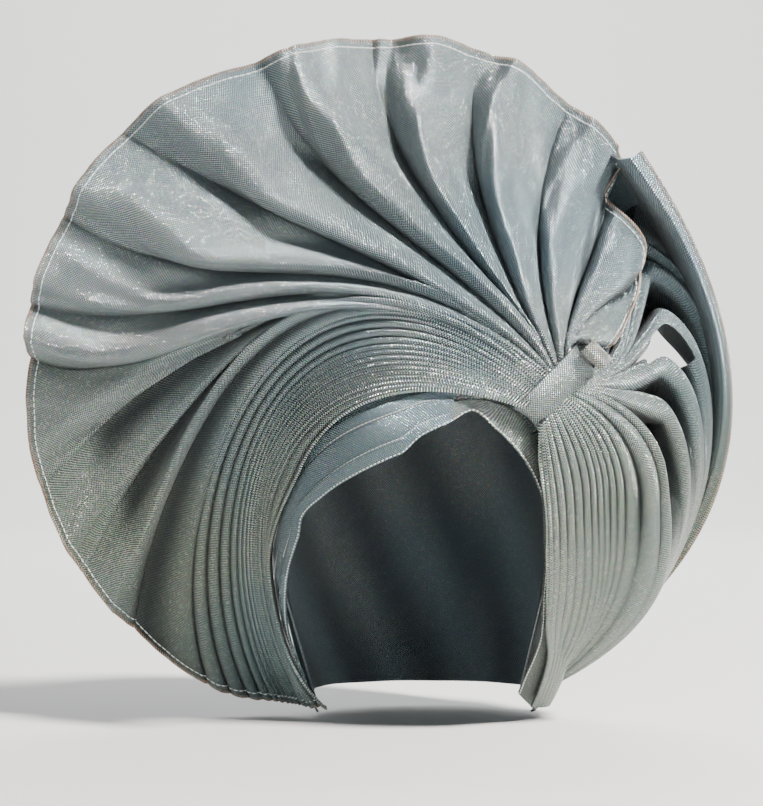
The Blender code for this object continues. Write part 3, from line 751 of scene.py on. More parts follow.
def weave_group() -> bpy.types.NodeTree:
    """Build the metallic weave that all the cloths share.

    Returns:
        A group that takes weave coordinates, threads per metre and a glitter strength, and gives the
        weave's height, its thread mask, a mask of painted glints, a thread tint and a glittering normal.
    """
    tree = bpy.data.node_groups.new("metallic_weave", "ShaderNodeTree")
    for way, name, kind in (
        ("INPUT", "Places", "NodeSocketVector"),
        ("INPUT", "Threads", "NodeSocketFloat"),
        ("INPUT", "Glitter", "NodeSocketFloat"),
        ("OUTPUT", "Height", "NodeSocketFloat"),
        ("OUTPUT", "Thread", "NodeSocketFloat"),
        ("OUTPUT", "PaintedGlint", "NodeSocketFloat"),
        ("OUTPUT", "Tint", "NodeSocketColor"),
        ("OUTPUT", "Normal", "NodeSocketVector"),
    ):
        tree.interface.new_socket(name, in_out=way, socket_type=kind)
    board = NodeBoard(tree)
    given = board.add("NodeGroupInput").outputs
    placed = board.scaled(given["Places"], given["Threads"])
    parts = board.add("ShaderNodeSeparateXYZ", {0: placed}).outputs
    warp, weft = (board.math("SINE", board.math("MULTIPLY", parts[axis], FULL_TURN)) for axis in (0, 1))
    crossing = board.math("MULTIPLY", warp, weft)
    cell = board.vector("FLOOR", board.scaled(placed, CELLS_PER_THREAD))
    chance = board.add("ShaderNodeTexWhiteNoise", {"Vector": cell}, noise_dimensions="3D").outputs
    lean = board.vector("SUBTRACT", chance["Color"], (0.5, 0.5, 0.5))
    facing = board.add("ShaderNodeNewGeometry").outputs["Normal"]
    tilted = board.vector("ADD", facing, board.scaled(lean, given["Glitter"]))
    board.add(
        "NodeGroupOutput",
        {
            "Height": board.math("MULTIPLY_ADD", crossing, 0.5, 0.5),
            "Thread": board.spread(crossing, *THREAD_EDGE),
            "PaintedGlint": board.spread(chance["Value"], *PAINTED_GLINT_CHANCE),
            "Tint": chance["Color"],
            "Normal": board.vector("NORMALIZE", tilted),
        },
    )
    return tree


@dataclass(frozen=True)
class MetallicCloth:
    """A finish: silver foil thread woven with a darker ground thread, with painted shade in its valleys."""

    name: str
    foil: Colour
    ground: Colour
    # shade is the colour of the painted shade in the valleys.
    shade: Colour
    # warm is a tint of painted light, laid over the lower cloth.
    warm: Colour
    # cool is the colour of painted bluish shade, laid in random patches.
    cool: Colour = (0.07, 0.15, 0.20, 1.0)
    threads: float = 700.0
    glitter: float = 0.22
    painted_glint: float = 0.15
    weave_depth: float = 1.0
    weave_height: float = 0.0004
    shine: float = 0.20
    metal: float = 0.88
    gloss: float = 0.10
    gloss_roughness: float = 0.45
    sheen: float = 0.15
    sheen_roughness: float = 0.4
    tint: float = 0.30
    tint_share: float = 0.75
    ground_roughness: float = 0.16
    ground_dullness: float = 0.3
    warm_heights: Span = (0.03, -0.12)
    cool_scale: float = 9.0
    cool_patches: Span = (0.40, 0.68)
    cool_share: float = 0.42
    painted_shade_share: float = 0.96

    def make(self, weave: bpy.types.NodeTree) -> bpy.types.Material:
        """Build the material.

        Args:
            weave: The shared weave group.

        Returns:
            The material.
        """
        made = bpy.data.materials.new(self.name)
        made.use_nodes = True
        board = NodeBoard(made.node_tree)
        given = {
            "Places": board.add("ShaderNodeUVMap", uv_map="UVMap").outputs["UV"],
            "Threads": self.threads,
            "Glitter": self.glitter,
        }
        woven = board.add("ShaderNodeGroup", node_tree=weave)
        board.fill(woven, given)
        thread = woven.outputs["Thread"]
        colour = self.colour(board, woven)
        # Painted shade: the colour is blended towards shade where the ridge attribute is low.
        ridge = board.add("ShaderNodeAttribute", attribute_name="ridge").outputs["Fac"]
        valley = board.math("MULTIPLY", board.math("SUBTRACT", 1.0, ridge), self.painted_shade_share)
        relief = {
            "Strength": self.weave_depth,
            "Distance": self.weave_height,
            "Height": woven.outputs["Height"],
            "Normal": woven.outputs["Normal"],
        }
        ground_metal = self.metal - self.ground_dullness
        board.fill(
            made.node_tree.nodes["Principled BSDF"],
            {
                "Base Color": board.blend(valley, colour, self.shade),
                "Roughness": board.math(
                    "MULTIPLY_ADD", thread, -self.ground_roughness, self.shine + self.ground_roughness
                ),
                "Metallic": board.math("MULTIPLY_ADD", thread, self.ground_dullness, ground_metal),
                "Normal": board.add("ShaderNodeBump", relief).outputs["Normal"],
                "Coat Weight": self.gloss,
                "Coat Roughness": self.gloss_roughness,
                "Sheen Weight": self.sheen,
                "Sheen Roughness": self.sheen_roughness,
            },
        )
        return made

    def colour(self, board: NodeBoard, woven: bpy.types.Node) -> bpy.types.NodeSocket:
        """Colour the threads.

        Args:
            board: The material's nodes.
            woven: Its weave.

        Returns:
            The colour of the cloth outside its valleys, with painted glints, painted warm light low down
            and painted bluish shade in patches.
        """
        thread = board.blend(woven.outputs["Thread"], self.ground, self.foil)
        tint = board.blend(self.tint, MIDDLE_GREY, woven.outputs["Tint"])
        tinted = board.blend(self.tint_share, thread, tint, "OVERLAY")
        # Towards the bottom the threads are multiplied by the warm tint: painted warm light on the lower
        # cloth.
        height = board.add("ShaderNodeSeparateXYZ", {0: board.own_place()}).outputs[2]
        warmed = board.blend(board.spread(height, *self.warm_heights), tinted, self.warm, "MULTIPLY")
        # White cells mixed into the colour: painted glints.
        painted_glint = board.math("MULTIPLY", woven.outputs["PaintedGlint"], self.painted_glint)
        # Random darker bluish patches: painted bluish shade.
        patches = board.spread(board.noise(self.cool_scale, 2.0), *self.cool_patches)
        cooled = board.math("MULTIPLY", patches, self.cool_share)
        return board.blend(cooled, board.blend(painted_glint, warmed, WHITE), self.cool)


@dataclass(frozen=True)
class PlainThread:
    """A finish of sewing thread, with the two colours that its strands vary between."""

    name: str
    first: Colour
    second: Colour
    roughness: float = 0.55
    unevenness: float = 0.2
    strand_scale: float = 420.0
    strand_share: float = 0.5
    patch_scale: float = 30.0
    patch_share: float = 0.6
    change: Span = (0.35, 0.75)
    relief: float = 0.5
    relief_height: float = 0.0002

    def make(self) -> bpy.types.Material:
        """Build the material.

        Returns:
            The material.
        """
        made = bpy.data.materials.new(self.name)
        made.use_nodes = True
        board = NodeBoard(made.node_tree)
        strands = board.noise(self.strand_scale, 1.0)
        patches = board.noise(self.patch_scale, 2.0)
        strand_share = board.math("MULTIPLY", strands, self.strand_share)
        share = board.math("MULTIPLY_ADD", patches, self.patch_share, strand_share)
        relief = {"Strength": self.relief, "Distance": self.relief_height, "Height": strands}
        board.fill(
            made.node_tree.nodes["Principled BSDF"],
            {
                "Base Color": board.blend(board.spread(share, *self.change), self.first, self.second),
                "Roughness": board.math("MULTIPLY_ADD", strands, self.unevenness, self.roughness),
                "Normal": board.add("ShaderNodeBump", relief).outputs["Normal"],
            },
        )
        return made


BRIGHT_CLOTH = MetallicCloth(
    "bright_metallic_cloth",
    foil=(0.50, 0.575, 0.58, 1.0),
    ground=(0.022, 0.045, 0.06, 1.0),
    shade=(0.003, 0.007, 0.010, 1.0),
    warm=(0.71, 0.69, 0.56, 1.0),
)
# A darker, bluer copy of the bright cloth: painted shade for the forehead band, which lies in shade.
SHADED_CLOTH = MetallicCloth(
    "shaded_metallic_cloth",
    foil=(0.29, 0.39, 0.44, 1.0),
    ground=(0.07, 0.11, 0.14, 1.0),
    shade=(0.010, 0.020, 0.026, 1.0),
    warm=(0.80, 0.80, 0.74, 1.0),
    glitter=0.12,
    painted_glint=0.08,
)
CAP_CLOTH = MetallicCloth(
    "cap_lining_cloth",
    foil=(0.30, 0.34, 0.35, 1.0),
    ground=(0.12, 0.15, 0.17, 1.0),
    shade=(0.03, 0.04, 0.05, 1.0),
    warm=(0.90, 0.88, 0.84, 1.0),
    glitter=0.10,
    painted_glint=0.1,
    shine=0.5,
    metal=0.55,
    gloss=0.0,
)
RAW_CLOTH = MetallicCloth(
    "raw_end_cloth",
    foil=(0.44, 0.50, 0.48, 1.0),
    ground=(0.10, 0.09, 0.075, 1.0),
    shade=(0.006, 0.010, 0.012, 1.0),
    warm=(0.90, 0.83, 0.70, 1.0),
    painted_glint=0.2,
)
HEM_THREAD = PlainThread("hem_thread", first=(0.30, 0.14, 0.07, 1.0), second=(0.48, 0.42, 0.36, 1.0))
STITCH_THREAD = PlainThread("stitch_thread", first=(0.72, 0.74, 0.72, 1.0), second=(0.85, 0.86, 0.84, 1.0))


@dataclass
class Finishes:
    """The built materials."""

    bright: bpy.types.Material
    shaded: bpy.types.Material
    cap: bpy.types.Material
    raw: bpy.types.Material
    hem: bpy.types.Material
    stitch: bpy.types.Material


def build_finishes() -> Finishes:
    """Build every material once.

    Returns:
        The materials.
    """
    weave = weave_group()
    return Finishes(
        bright=BRIGHT_CLOTH.make(weave),
        shaded=SHADED_CLOTH.make(weave),
        cap=CAP_CLOTH.make(weave),
        raw=RAW_CLOTH.make(weave),
        hem=HEM_THREAD.make(),
        stitch=STITCH_THREAD.make(),
    )


def hand_over(piece: bpy.types.Object, material: bpy.types.Material, slot: Slot, *nodes: str) -> None:
    """Dress a finished piece and tie it to the frame.

    Args:
        piece: The piece.
        material: Its finish.
        slot: Its slot in the record. It is not used.
        *nodes: The frame's nodes that it stands for.
    """
    piece.data.materials.clear()
    piece.data.materials.append(material)
    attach(piece, BODY)
    if nodes:
        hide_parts(*nodes)
    log.info("%s: %d vertices, %d faces", piece.name, len(piece.data.vertices), len(piece.data.polygons))


@dataclass
class FanCloth:
    """The main fan: fine pleats over the brow and down one side, then big folds up to the hem."""

    rows: int = 112
    fine_samples: int = 8
    big_samples: int = 24
    fine_end: float = 13.0
    first: float = -1.4
    last: float = 28.2
    crease_rows: Span = (0.45, 0.95)
    crease_loss: float = 0.70
    steepness: float = 0.78
    hem_span: int = 5
    hem_rounds: int = 7
    hem_rows: Span = (0.62, 1.0)
    hem_loss: float = 0.50
    unevenness: float = 0.18
    fold_rate: float = 1.9
    dying_folds: Span = (15.5, 0.9)
    dying_rows: Span = (0.74, 0.92)
    dying_loss: float = 0.88
    # The wedge fields place painted shadow in three valleys.
    wedge_phases: Span = (14.0, 16.0)
    wedge_tip: float = 0.87
    wedge_longer: float = 0.30
    wedge_shift: float = 0.13
    wedge_width: Span = (0.07, 0.20)
    wedge_rows: Span = (0.15, 0.45)
    wedge_end: Span = (-0.05, 0.03)
    wedge_painted_shadow: float = 0.92
    fine_depth: float = 0.0027
    big_depth: float = 0.0160
    root_depth: float = 0.0006
    root_rows: Span = (0.0, 0.06)
    root_front: float = 0.0945
    ripple: float = 0.0034
    ripple_rows: Span = (0.25, 0.75)
    long_ripple: Span = (1.7, 2.6)
    short_ripple: Span = (4.1, -3.0)
    short_share: float = 0.5
    pucker: float = 0.0005
    pucker_rate: float = 9.0
    pucker_rows: Span = (0.88, 1.0)
    lean: float = 0.20
    side_lean: float = 0.28
    side_lean_in: Span = (12.0, 14.0)
    side_lean_out: Span = (19.5, 22.0)
    lean_rows: Span = (0.03, 0.25)
    upright_rows: Span = (0.60, 0.95)
    upright_share: float = 0.75
    # The fields from here on paint shade into the valleys and onto the turned-under strip.
    valley_end: Span = (0.22, 0.90)
    big_valley_loss: float = 0.38
    shade_rows: Span = (0.35, 0.95)
    shade_loss: float = 0.75
    hidden_phases: Span = (26.9, 27.4)
    hidden_painted_shade: float = 0.8

    def lines(self, u: np.ndarray, phases: np.ndarray) -> np.ndarray:
        """Follow the guides.

        Args:
            u: Shares of the way from the knot to the hem, as a column.
            phases: Places across, one unit for each pleat.

        Returns:
            The points of the cloth before it is folded.
        """
        root_x, root_z = LAYOUT.root(FAN_GUIDES.at("root", phases), -1)
        across, up = FAN_GUIDES.places("lead guide", phases)
        mid, hem = FAN_GUIDES.depths("mid hem", phases)
        bearing = np.radians(FAN_GUIDES.at("hem_bearing", phases))
        reach = FAN_GUIDES.at("hem_reach", phases)
        front = -self.root_front
        x = bezier(u, root_x, *across, LAYOUT.across(reach * np.cos(bearing)))
        y = bezier(u, front, (mid + front) / 2, (mid + hem) / 2, hem)
        z = bezier(u, root_z, *up, LAYOUT.up(reach * np.sin(bearing)))
        return np.stack((x, y, z), axis=-1)

    def surface(self, rows: np.ndarray, phases: np.ndarray) -> tuple[np.ndarray, np.ndarray]:
        """Fold the cloth.

        Args:
            rows: Shares of the way from the knot to the hem.
            phases: Places across, one unit for each pleat.

        Returns:
            The points, and how much painted light each gets, from nought in a valley, painted in shade, to
            one.
        """
        u = rows[:, None]
        clear = LAYOUT.layer(2)
        base = HEAD.keep_off(self.lines(u, phases), clear + self.fine_depth, LYING_BEND)
        fold = FAN_GUIDES.at("fold", phases)
        step = np.gradient(base, axis=1) / np.gradient(phases)[:, None]
        pitch = np.linalg.norm(step, axis=-1)
        crease = 1.0 - self.crease_loss * fold * smooth_step(*self.crease_rows, u)
        sharp = valley_height(phases)
        soft = 0.5 - 0.5 * np.cos(FULL_TURN * phases)
        ridge = soft + (sharp - soft) * crease
        most = self.fine_depth + (self.big_depth - self.fine_depth) * fold
        depth = most * np.tanh(self.steepness * pitch / most)
        depth = depth * (1.0 - self.hem_loss * fold * smooth_step(*self.hem_rows, u))
        depth = depth * (1.0 + self.unevenness * wander(np.floor(phases) * self.fold_rate, seed=2.0))
        middle, spread = self.dying_folds
        dying = np.exp(-(((phases - middle) / spread) ** 4)) * smooth_step(*self.dying_rows, u)
        depth = depth * (1.0 - self.dying_loss * dying)
        depth = self.root_depth + (depth - self.root_depth) * smooth_step(*self.root_rows, u)
        long_wave = wander(phases * self.long_ripple[0] + self.long_ripple[1] * u, seed=5.0)
        short_wave = wander(phases * self.short_ripple[0] + self.short_ripple[1] * u, seed=8.0)
        ripples = (long_wave + self.short_share * short_wave) * self.ripple * fold
        ripples = ripples * smooth_step(*self.ripple_rows, u)
        puckers = self.pucker * wander(phases * self.pucker_rate, seed=3.0)
        puckers = puckers * smooth_step(*self.pucker_rows, u)
        height = depth * (ridge - 0.5) + ripples + puckers
        pleated = base + normals_of(base) * height[..., None]
        beside = smooth_step(*self.side_lean_in, phases) * (1.0 - smooth_step(*self.side_lean_out, phases))
        upright = 1.0 - self.upright_share * smooth_step(*self.upright_rows, u)
        lean = (self.lean + self.side_lean * beside) * smooth_step(*self.lean_rows, u) * upright
        pleated = pleated - step * (lean * ridge)[..., None]
        # Painted shade: dark in the valleys, fading where the big folds soften, in the wedges and on the
        # turned-under strip.
        low, high = self.valley_end
        lit = smooth_step(low * (1.0 - fold), high - self.big_valley_loss * fold, sharp)
        shaded = 1.0 - self.shade_loss * fold * smooth_step(*self.shade_rows, u)
        dark = (1.0 - lit) * shaded * (1.0 - dying)
        dark = np.maximum(dark, self.wedge_painted_shadow * self.wedges(u, phases))
        dark = np.maximum(dark, self.hidden_painted_shade * smooth_step(*self.hidden_phases, phases))
        return HEAD.keep_off(pleated, clear, TOUCHING_BEND), 1.0 - dark

    def wedges(self, u: np.ndarray, phases: np.ndarray) -> np.ndarray:
        """Paint shadow into the three valleys that end in the smooth cloth at the side.

        Args:
            u: Shares of the way from the knot to the hem, as a column.
            phases: Places across, one unit for each pleat.

        Returns:
            How dark the painted shadow makes each place.
        """
        first, last = self.wedge_phases
        open_side = phases + self.wedge_shift
        valley = np.round(open_side)
        chosen = (valley >= first) & (valley <= last)
        width = self.wedge_width[0] + self.wedge_width[1] * u
        tip = self.wedge_tip + np.where(valley == first, self.wedge_longer, 0.0)
        ending = 1.0 - smooth_step(*self.wedge_end, u - tip)
        starting = smooth_step(*self.wedge_rows, u)
        return np.exp(-(((open_side - valley) / width) ** 2)) * chosen * starting * ending

    def phases(self) -> np.ndarray:
        """Return the places of the columns."""
        fine = even_phases(self.first, self.fine_end, self.fine_samples)
        big = even_phases(self.fine_end, self.last, self.big_samples)
        return np.concatenate((fine, big[1:]))

    def build(self, finishes: Finishes) -> None:
        """Make the fan, its overlocked hem and the line of stitches inside it.

        Args:
            finishes: The built materials.
        """
        phases = self.phases()
        rows = np.linspace(0.0, 1.0, self.rows + 1)
        points, ridge = self.surface(rows, phases)
        piece = ClothGrid("fan_pleated_cloth", points, pleat_numbers(phases), ridge).build()
        thicken(piece, LAYOUT.wall)
        hand_over(piece, finishes.bright, Slot.BRIGHT, "fan_cloth")
        outward = evened(points[-1] - points[-self.hem_span], self.hem_rounds)
        normal = evened(normals_of(points)[-1], self.hem_rounds)
        hem = Overlock("fan_hem_overlock", points[-1], outward, normal)
        hem_piece = hem.build(finishes.hem)
        line_piece = StitchLine("fan_stitch_line", points).build(finishes.stitch)


@dataclass
class Overlock:
    """Thread wound round a raw edge, as an overlock machine leaves it."""

    name: str
    edge: np.ndarray
    outward: np.ndarray
    normal: np.ndarray
    pitch: float = 0.0014
    width: float = 0.0022
    lift: float = 0.0009
    thread: float = 0.00026
    turn_points: int = 10

    def build(self, material: bpy.types.Material) -> bpy.types.Object:
        """Wind the thread.

        Args:
            material: The thread's finish.

        Returns:
            The winding.
        """
        length = lengths_along(self.edge)
        turns = max(2, int(length[-1] / self.pitch))
        at = np.linspace(0.0, length[-1], turns * self.turn_points)
        angle = np.linspace(0.0, FULL_TURN * turns, len(at))
        given = (self.edge, self.outward, self.normal)
        edge, outward, normal = (read_line(at, length, vectors) for vectors in given)
        outward /= np.linalg.norm(outward, axis=-1, keepdims=True)
        reach = (0.5 * np.cos(angle) - 0.5) * self.width + self.thread
        rise = np.sin(angle) * self.lift
        path = edge + outward * reach[:, None] + normal * rise[:, None]
        return thread_piece(self.name, [path], self.thread, material)


def thread_piece(
    name: str, paths: list[np.ndarray], radius: float, material: bpy.types.Material
) -> bpy.types.Object:
    """Make thread that follows one or more paths.

    Args:
        name: Name of the piece.
        paths: The points of each strand.
        radius: Radius of the thread.
        material: Its finish.

    Returns:
        The thread as a mesh that rides on the frame.
    """
    deselect()
    bpy.ops.curve.primitive_bezier_curve_add()
    piece = bpy.context.object
    piece.name = name
    piece.data.name = name
    piece.data.splines.clear()
    piece.data.bevel_depth = radius
    piece.data.bevel_resolution = 0
    piece.data.use_fill_caps = True
    for path in paths:
        spline = piece.data.splines.new("POLY")
        spline.points.add(len(path) - 1)
        flat = np.concatenate((path, np.ones((len(path), 1))), axis=1)
        spline.points.foreach_set("co", flat.astype(np.float32).ravel())
    make_active(piece)
    bpy.ops.object.convert(target="MESH")
    piece = bpy.context.object
    bpy.ops.object.shade_smooth()
    hand_over(piece, material, Slot.BRIGHT)
    return piece


@dataclass
class StitchLine:
    """A line of straight stitches that runs beside a hem."""

    name: str
    points: np.ndarray
    inset: float = 0.0046
    stitch: float = 0.0024
    gap: float = 0.0009
    thread: float = 0.00028
    proud: float = 0.6
    normal_row: int = 3
    inner_row: int = 6
    dips: tuple[float, ...] = (-1.0, 0.3, 0.3, -1.0)

    def build(self, material: bpy.types.Material) -> bpy.types.Object:
        """Sew the line.

        Args:
            material: The thread's finish.

        Returns:
            The stitches.
        """
        normal = normals_of(self.points)[-self.normal_row]
        last = self.points[-1]
        inward = self.points[-self.inner_row] - last
        inward /= np.linalg.norm(inward, axis=-1, keepdims=True)
        line = last + inward * self.inset + normal * (LAYOUT.wall / 2 + self.thread * self.proud)
        length = lengths_along(line)
        paths = []
        start = self.gap
        while start + self.stitch < length[-1]:
            at = np.linspace(start, start + self.stitch, len(self.dips))
            dip = np.array(self.dips) * self.thread
            paths.append(read_line(at, length, line) + read_line(at, length, normal) * dip[:, None])
            start += self.stitch + self.gap
        return thread_piece(self.name, paths, self.thread, material)


@dataclass
class SideCloth:
    """The fan on the other side: fine pleats down to the nape and the deep hairpin loops."""

    rows: int = 120
    fine_samples: int = 8
    loop_samples: int = 36
    corner_row: float = 0.4
    corner_width: float = 0.09
    corner_rounds: int = 8
    first: float = -1.2
    loops_start: float = 12.0
    last: float = 19.4
    root_front: float = 0.0893
    root_inset: float = 0.0015
    root_rows: Span = (0.0, 0.12)
    pull: float = 0.38
    fine_depth: float = 0.0026
    faded_depth: float = 0.0010
    fade_from: float = 0.37
    fade_rows: float = 0.20
    fade_later: float = 0.14
    roll_radius: float = 0.0062
    least_radius: float = 0.00001
    roll_limit: float = 0.97
    hollow_depth: float = 0.016
    hollow_aside: Span = (1.0, 1.5)
    peak_in: Span = (0.05, 0.34)
    peak_out: Span = (0.46, 0.62)
    # Painted shade in the pleats' valleys and on the loops' flanks and hollows.
    pleat_lit: Span = (0.20, 0.88)
    loop_lit: Span = (0.75, 1.15)
    far_painted_shade: float = 0.34
    near_painted_shade: float = 0.66
    gap_phases: Span = (15.64, 16.36)
    gap_rows: Span = (0.33, 0.50)

    def surface(self, rows: np.ndarray, phases: np.ndarray) -> tuple[np.ndarray, np.ndarray]:
        """Fold the cloth.

        Args:
            rows: Shares of the way from the knot over the loops' peaks to the nape.
            phases: Places across, one unit for each pleat.

        Returns:
            The points, and how much painted light each gets, from nought in a valley, painted in shade, to
            one.
        """
        base = HEAD.keep_off(self.lines(rows, phases), LAYOUT.layer(2) + self.fine_depth, LYING_BEND)
        u = rows[:, None]
        loop = SIDE_GUIDES.at("loop", phases)
        fade = 1.0 - smooth_step(0.0, self.fade_rows, u - self.fade_from - self.fade_later * loop)
        rise = smooth_step(*self.root_rows, u)
        fine = self.faded_depth + (self.fine_depth - self.faded_depth) * fade * rise
        pitch = np.linalg.norm(np.gradient(base, axis=1), axis=-1) / np.gradient(phases)
        radius = np.clip(0.5 * pitch, self.least_radius, self.roll_radius)
        aside = np.abs(phases - np.floor(phases) - 0.5) * pitch / radius
        limited = np.clip(self.roll_limit * aside, 0.0, self.roll_limit)
        tube = radius * (1.0 - np.sqrt(1.0 - limited**2))
        peak = smooth_step(*self.peak_in, u) * (1.0 - smooth_step(*self.peak_out, u))
        hollow = self.hollow_depth * peak * smooth_step(*self.hollow_aside, aside)
        sharp = valley_height(phases)
        height = fine * (sharp - 0.5) * (1.0 - loop) - (tube * fade * rise + hollow) * loop
        pleated = base + normals_of(base) * height[..., None]
        # Painted shade: the pleats dark in their valleys, the loops dark beside their rounded ridges.
        loop_lit = 1.0 - smooth_step(*self.loop_lit, aside)
        lit = smooth_step(*self.pleat_lit, sharp) * (1.0 - loop) + loop_lit * loop
        dark = (1.0 - lit) * (self.far_painted_shade + self.near_painted_shade * fade)
        return HEAD.keep_off(pleated, LAYOUT.layer(2), TOUCHING_BEND), 1.0 - dark

    def lines(self, rows: np.ndarray, phases: np.ndarray) -> np.ndarray:
        """Follow the guides and round the turn of every loop.

        Args:
            rows: Shares of the way from the knot over the loops' peaks to the nape.
            phases: Places across, one unit for each pleat.

        Returns:
            The points of the cloth before it is folded.
        """
        root_x, root_z = LAYOUT.root(SIDE_GUIDES.at("root", phases), 1)
        across = LAYOUT.knot_axes()[1]
        root_x = root_x - self.root_inset * across[0]
        root_z = root_z - self.root_inset * across[1]
        root_y = -self.root_front
        (corner_x, *xs), (corner_z, *zs) = SIDE_GUIDES.places("corner out flank end", phases)
        corner_y, flank_y, end_y = SIDE_GUIDES.depths("corner flank end", phases)
        pull = self.pull * np.hypot(corner_x - root_x, corner_z - root_z)
        leave = SIDE_GUIDES.heading("leave", phases)
        into = SIDE_GUIDES.heading("into", phases)
        upper = rows <= self.corner_row + TINY
        u = (rows[upper] / self.corner_row)[:, None]
        inner = np.stack(
            (
                bezier(u, root_x, root_x + pull * np.cos(leave), corner_x - pull * np.cos(into), corner_x),
                root_y + (corner_y - root_y) * u,
                bezier(u, root_z, root_z + pull * np.sin(leave), corner_z - pull * np.sin(into), corner_z),
            ),
            axis=-1,
        )
        u = ((rows[~upper] - self.corner_row) / (1.0 - self.corner_row))[:, None]
        outer = np.stack(
            (
                bezier(u, corner_x, *xs),
                bezier(u, corner_y, (corner_y + flank_y) / 2, flank_y / 2, end_y),
                bezier(u, corner_z, *zs),
            ),
            axis=-1,
        )
        near = np.exp(-(((rows - self.corner_row) / self.corner_width) ** 2))[1:-1, None, None]
        return evened(np.concatenate((inner, outer)), self.corner_rounds, near)

    def build(self, finishes: Finishes) -> None:
        """Make the side cloth, with the gap between two loops open.

        Args:
            finishes: The built materials.
        """
        fine = even_phases(self.first, self.loops_start, self.fine_samples)
        loops = even_phases(self.loops_start, self.last, self.loop_samples)
        phases = np.concatenate((fine, loops[1:]))
        rows = np.linspace(0.0, 1.0, self.rows + 1)
        points, ridge = self.surface(rows, phases)
        piece = ClothGrid("side_pleated_cloth", points, pleat_numbers(phases), ridge).build()
        self.open_gap(piece, rows, phases)
        thicken(piece, LAYOUT.wall)
        hand_over(piece, finishes.bright, Slot.BRIGHT, "side_cloth")

    def open_gap(self, piece: bpy.types.Object, rows: np.ndarray, phases: np.ndarray) -> None:
        """Open the gap between two loops that daylight shows through.

        Args:
            piece: The sheet before it has its thickness.
            rows: Its rows.
            phases: Its columns.
        """
        across = (phases > self.gap_phases[0]) & (phases < self.gap_phases[1])
        along = (rows > self.gap_rows[0]) & (rows < self.gap_rows[1])
        columns = len(phases)
        inside = np.flatnonzero(along)[:, None] * columns + np.flatnonzero(across)[None, :]
        make_active(piece)
        bpy.ops.object.mode_set(mode="EDIT")
        bpy.ops.mesh.select_all(action="DESELECT")
        bpy.ops.object.mode_set(mode="OBJECT")
        for number in inside.ravel():
            piece.data.vertices[int(number)].select = True
        bpy.ops.object.mode_set(mode="EDIT")
        bpy.ops.mesh.delete(type="VERT")
        bpy.ops.object.mode_set(mode="OBJECT")


@dataclass
class TailEnd:
    """The free end of the cloth, from its cut edge at the top down the side."""

    rows: int = 120
    samples: int = 26
    lift: float = 0.0074
    depth: float = 0.0004
    first: float = -1.4
    last: float = 3.0
    rise_rows: Span = (0.02, 0.3)
    end_rows: Span = (0.75, 1.0)
    end_loss: float = 0.7
    # Painted shade on the hidden strip at the tail's inner side.
    hidden_phases: Span = (-0.6, 0.05)
    hidden_painted_shade: float = 0.7

    def surface(self, rows: np.ndarray, phases: np.ndarray) -> tuple[np.ndarray, np.ndarray]:
        """Fold the cloth.

        Args:
            rows: Shares of the way down.
            phases: Places across.

        Returns:
            The points, and how much painted light each gets, with painted shade on the hidden strip.
        """
        u = rows[:, None]
        across, up = TAIL_GUIDES.places("top lead guide end", phases)
        top, mid, end = TAIL_GUIDES.depths("top mid end", phases)
        y = bezier(u, top, (top + mid) / 2, (mid + end) / 2, end) - self.lift
        base = np.stack((bezier(u, *across), y, bezier(u, *up)), axis=-1)
        ending = 1.0 - self.end_loss * smooth_step(*self.end_rows, u)
        depth = self.depth * smooth_step(*self.rise_rows, u) * ending
        height = depth * (valley_height(phases) - 0.5)
        # Painted shade on the hidden strip.
        lit = 1.0 - self.hidden_painted_shade * (1.0 - smooth_step(*self.hidden_phases, phases))
        return base + normals_of(base) * height[..., None], np.broadcast_to(lit, y.shape)

    def build(self, finishes: Finishes) -> None:
        """Make the free end and its overlocked outer edge.

        Args:
            finishes: The built materials.
        """
        phases = even_phases(self.first, self.last, self.samples)
        points, ridge = self.surface(np.linspace(0.0, 1.0, self.rows + 1), phases)
        piece = ClothGrid("tail_free_end", points, pleat_numbers(phases), ridge).build()
        thicken(piece, LAYOUT.wall)
        hand_over(piece, finishes.bright, Slot.BRIGHT, "tail")
        edge = points[:, -1]
        hem = Overlock("tail_hem_overlock", edge, edge - points[:, -4], normals_of(points)[:, -1])
        hem_piece = hem.build(finishes.hem)


